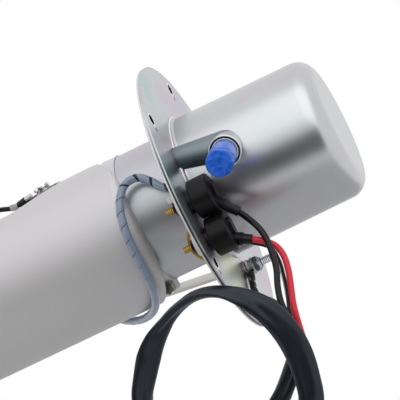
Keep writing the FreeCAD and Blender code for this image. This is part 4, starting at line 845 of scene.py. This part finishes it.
def soft_block(name, low, high, soft, made, slot):
    """A small moulded block with rounded edges and one slightly pinched side."""
    deselect()
    centre = (Vector(low) + Vector(high)) / 2
    bpy.ops.mesh.primitive_cube_add(size=1.0, location=centre * MM)
    obj = bpy.context.active_object
    obj.scale = (Vector(high) - Vector(low)) * MM
    bpy.ops.object.transform_apply(location=True, rotation=True, scale=True)
    bpy.ops.object.mode_set(mode="EDIT")
    pick_faces(obj, lambda face: face.normal.z < -0.9)
    bpy.ops.transform.resize(value=(0.8, 0.85, 1.0), center_override=(centre.x * MM, centre.y * MM, low[2] * MM))
    bpy.ops.object.mode_set(mode="OBJECT")
    edges = obj.modifiers.new("soft edges", "BEVEL")
    edges.width = soft * MM
    edges.segments = 3
    apply_all(obj)
    bpy.ops.object.shade_smooth_by_angle(angle=math.radians(40))
    return finish_piece(obj, name, made)


def shrink_sleeve(name, points, radii, ripple, seed, made):
    """A shrunk tube along a short route, rippled as heat leaves it."""
    line = route_line(name + "_line", points)
    frames = carried_frames(line)
    around = 20
    spots = []
    for i, centre in enumerate(line):
        part = i / (len(line) - 1)
        radius = radii[0] + (radii[1] - radii[0]) * part
        first, second = frames[i]
        for k in range(around):
            angle = 2 * math.pi * k / around
            wave = ripple * clouds.noise(Vector((part * 7.0, math.cos(angle), math.sin(angle) + seed)))
            spots.append(centre + (first * math.cos(angle) + second * math.sin(angle)) * (radius + wave) * MM)
    obj = mesh_piece(name, spots, tube_faces(len(line), around))
    only(obj)
    bpy.ops.object.shade_smooth_by_angle(angle=math.radians(50))
    return finish_piece(obj, name, made)


NYLON_TAB = ((-10.2, -70.5, -9.6), (-5.7, -63.0, -2.0))


def make_fittings():
    stud = threaded_stud("ground_thread", GROUND_STUD, FLANGE_TOP, 23.7, 3.0, 1.3, STEEL)
    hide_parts("ground_stud")
    for letter, x, y in TERMINALS:
        stud = threaded_stud("terminal_thread_" + letter, (x, y), -14.0, 12.2, 2.5, 1.3, BRASS)
        if letter == "a":
            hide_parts("terminal_studs")
        nylon_cup("terminal_cup_" + letter, x, y, letter == "a")
    soft_block("nylon_tab", *NYLON_TAB, 0.7, NYLON, "nylon")
    outlet_rings()
    foot_seam()
    valve_spring()


# Camera and studio

def make_camera():
    data = bpy.data.cameras.new("camera")
    data.sensor_width = 36.0
    data.lens = 180.0  # 2000 px on a picture 400 px wide
    obj = bpy.data.objects.new("camera", data)
    bpy.context.collection.objects.link(obj)
    turn = Matrix((VIEW_RIGHT, VIEW_UP, VIEW_BACK)).transposed().to_4x4()
    obj.matrix_world = Matrix.Translation(EYE) @ turn
    scene = bpy.context.scene
    scene.camera = obj
    scene.render.resolution_x = 400
    scene.render.resolution_y = 400
    scene.render.resolution_percentage = 100


LIT_LEVEL = 0.55


def make_world():
    """White where the camera, metal or glass sees it, and a lower level as light."""
    world = bpy.data.worlds.new("studio")
    bpy.context.scene.world = world
    world.use_nodes = True
    tree = world.node_tree
    back = tree.nodes["Background"]
    back.inputs["Color"].default_value = colour(1.0, 1.0, 1.0)
    path = tree.nodes.new("ShaderNodeLightPath")
    seen = calc(tree, "MAXIMUM", path.outputs["Is Camera Ray"], path.outputs["Is Glossy Ray"])
    seen = calc(tree, "MAXIMUM", seen, path.outputs["Is Transmission Ray"])
    strength = calc(tree, "MULTIPLY_ADD", seen, 1.0 - LIT_LEVEL, LIT_LEVEL)
    tree.links.new(strength, back.inputs["Strength"])


def card(name, centre, facing, width, height, grey):
    """A flat reflector of an even grey, which the camera doesn't see."""
    deselect()
    bpy.ops.mesh.primitive_plane_add(size=1.0, location=centre)
    obj = bpy.context.active_object
    obj.name = name
    obj.scale = (width, height, 1.0)
    obj.rotation_euler = Vector(facing).to_track_quat("Z", "Y").to_euler()
    made = bpy.data.materials.new(name)
    made.use_nodes = True
    tree = made.node_tree
    tree.nodes.clear()
    glow = tree.nodes.new("ShaderNodeEmission")
    glow.inputs["Color"].default_value = colour(grey, grey, grey)
    out = tree.nodes.new("ShaderNodeOutputMaterial")
    tree.links.new(glow.outputs[0], out.inputs["Surface"])
    obj.data.materials.append(made)
    obj.visible_camera = False
    obj.visible_shadow = False


def lamp(name, place, target, width, energy):
    data = bpy.data.lights.new(name, "AREA")
    data.shape = "SQUARE"
    data.size = width
    data.energy = energy
    obj = bpy.data.objects.new(name, data)
    obj.location = place
    obj.rotation_euler = (Vector(target) - Vector(place)).to_track_quat("-Z", "Y").to_euler()
    bpy.context.collection.objects.link(obj)


def make_studio():
    """White all round, a dark card for the cup's streak, a grey one behind and a broad lamp above."""
    make_world()
    card("dark_card", (0.26, -1.45, -0.1), (-0.15, 1.0, 0.0), 0.97, 2.6, 0.05)
    card("grey_card", (1.0, 0.7, -0.3), (-1.0, 0.0, 0.1), 3.6, 2.6, 0.56)
    lamp("key", tuple(VIEW_UP * 0.9 + Vector((0.0, -0.7, 0.0))), (0.0, 0.0, 0.0), 1.3, 3.9)


flange_finish(ZINC)
moulded_cap(CAP)
make_camera()
make_cords()
make_fittings()
paint_nodes()
make_studio()

scene = bpy.context.scene
scene.view_settings.view_transform = "Standard"
